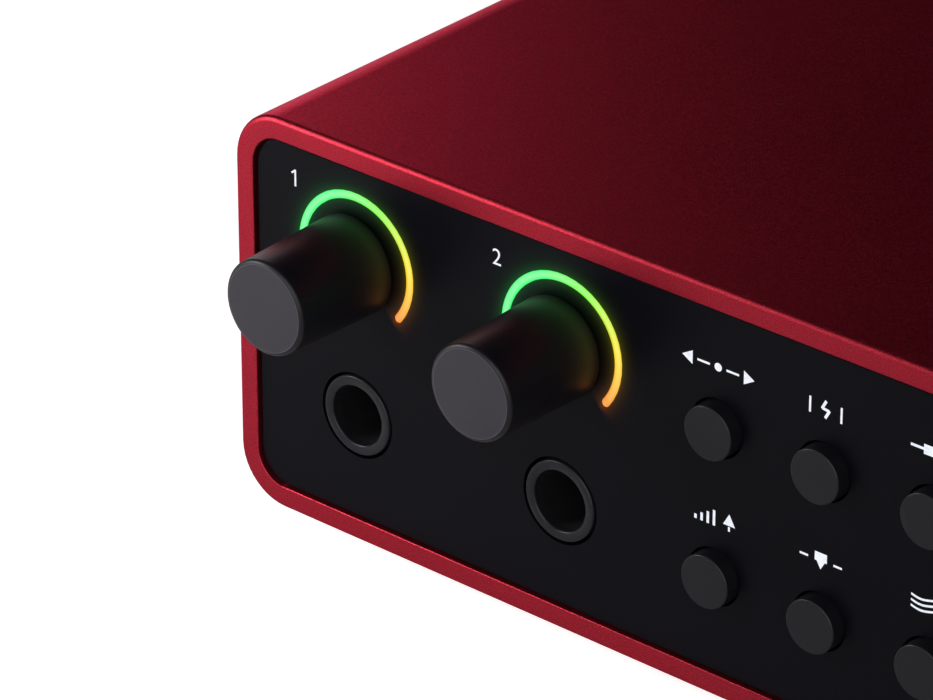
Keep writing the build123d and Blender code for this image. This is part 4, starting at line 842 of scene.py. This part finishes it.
class BuildSockets(bpy.types.Operator):
    """Finishes every jack, socket and port"""
    bl_idname = "interface.build_sockets"
    bl_label = "Sockets"

    def execute(self, context):
        moulding = jack_finish()
        jacks = [n for n in frame["nodes"] if "_jack" in n]
        for node in jacks:
            smooth_copy(node, moulding, JACK_SMOOTH_DEG)
        dark = grained_finish("dark_moulding", (0.012, 0.012, 0.013), 0.45, 0.25 * MM)
        for node in ("midi_in_socket", "midi_out_socket", "usb_tongues", "board_link"):
            smooth_copy(node, dark)
        casting = metal_finish("black_casting", (0.035, 0.035, 0.038), 0.38)
        bright = metal_finish("plated_steel", (0.62, 0.61, 0.58), 0.24)
        for node in ("mic_socket_1", "mic_socket_2"):
            smooth_copy(node, casting)
        for node in ("mic_latch_1", "mic_latch_2", "usb_data_port", "usb_power_port"):
            smooth_copy(node, bright)
        gold = metal_finish("plated_contacts", (0.80, 0.62, 0.30), 0.25)
        for node in ("jack_contacts", "mic_contacts", "midi_contacts"):
            smooth_copy(node, gold)
        return {"FINISHED"}


class BuildInside(bpy.types.Operator):
    """Finishes the tray, the boards and what stands on them"""
    bl_idname = "interface.build_inside"
    bl_label = "Inside and fasteners"

    def execute(self, context):
        zinc = metal_finish("zinc_steel", (0.55, 0.56, 0.58), 0.36, 0.8 * MM)
        for node in ("chassis_tray", "shield_can", "tray_screws", "control_board_screws", "main_board_screws"):
            smooth_copy(node, zinc)
        smooth_copy("rear_screws", metal_finish("black_oxide", (0.03, 0.03, 0.032), 0.35))
        smooth_copy("standoffs", metal_finish("brass_pillars", (0.70, 0.52, 0.24), 0.3))
        smooth_copy("capacitors", metal_finish("can_aluminium", (0.70, 0.70, 0.72), 0.3))
        board = board_finish()
        for node in ("control_board", "main_board"):
            smooth_copy(node, board)
        smooth_copy("chips", grained_finish("chip_epoxy", (0.014, 0.014, 0.014), 0.5, 0.2 * MM))
        clear = grained_finish("clear_moulding", (0.5, 0.52, 0.55), 0.2, 0.4 * MM, spread=0.05, bump=0.05)
        smooth_copy("label_light_guides", clear)
        smooth_copy("light_emitters", grained_finish("emitter_lens", (0.7, 0.68, 0.5), 0.3, 0.2 * MM))
        return {"FINISHED"}


class BuildSigns(bpy.types.Operator):
    """Makes the lit numerals and the plain signs over the buttons"""
    bl_idname = "interface.build_signs"
    bl_label = "Lit signs"

    def execute(self, context):
        settings = detail_settings()
        lit_finish("lit_sign", finish_settings().legend, 1.0)
        for numeral, node in zip((numeral_one, numeral_two), GAIN_KNOBS):
            centre = middle(node)
            numeral(centre.x - settings.digit_left, centre.z + settings.digit_rise)
        height, stroke = settings.mark_height, settings.mark_stroke
        drawings = (select_strokes, phantom_strokes, instrument_strokes,
                    auto_strokes, safe_strokes, voicing_strokes)
        for node, draw in zip(BUTTONS, drawings):
            sign_over(node, draw(height, stroke))
        return {"FINISHED"}


class InterfacePanel(bpy.types.Panel):
    """Lists the operators in the sidebar"""
    bl_idname = "VIEW3D_PT_interface"
    bl_label = "Audio interface"
    bl_space_type = "VIEW_3D"
    bl_region_type = "UI"
    bl_category = "Interface"

    def draw(self, context):
        for operator in OPERATORS:
            self.layout.operator(operator.bl_idname)
        for group in ("interface_stage", "interface_finish", "interface_detail"):
            settings = getattr(context.scene, group)
            for key in settings.bl_rna.properties.keys():
                if key not in ("rna_type", "name"):
                    self.layout.prop(settings, key)


OPERATORS = (BuildStage, BuildCase, BuildKnobs, BuildHalos, BuildSockets, BuildButtons, BuildInside, BuildSigns)
GROUPS = (("interface_stage", StageSettings), ("interface_finish", FinishSettings),
          ("interface_detail", DetailSettings))


def register():
    """Registers every class and hangs the settings on the scene."""
    for name, group in GROUPS:
        bpy.utils.register_class(group)
        setattr(bpy.types.Scene, name, PointerProperty(type=group))
    for kind in (*OPERATORS, InterfacePanel):
        bpy.utils.register_class(kind)


def unregister():
    """Takes the classes and settings away again."""
    for kind in (InterfacePanel, *reversed(OPERATORS)):
        bpy.utils.unregister_class(kind)
    for name, group in reversed(GROUPS):
        delattr(bpy.types.Scene, name)
        bpy.utils.unregister_class(group)


def main():
    register()
    for operator in OPERATORS:
        area, name = operator.bl_idname.split(".")
        getattr(getattr(bpy.ops, area), name)()
    clear_selection()


if __name__ == "__main__":
    main()
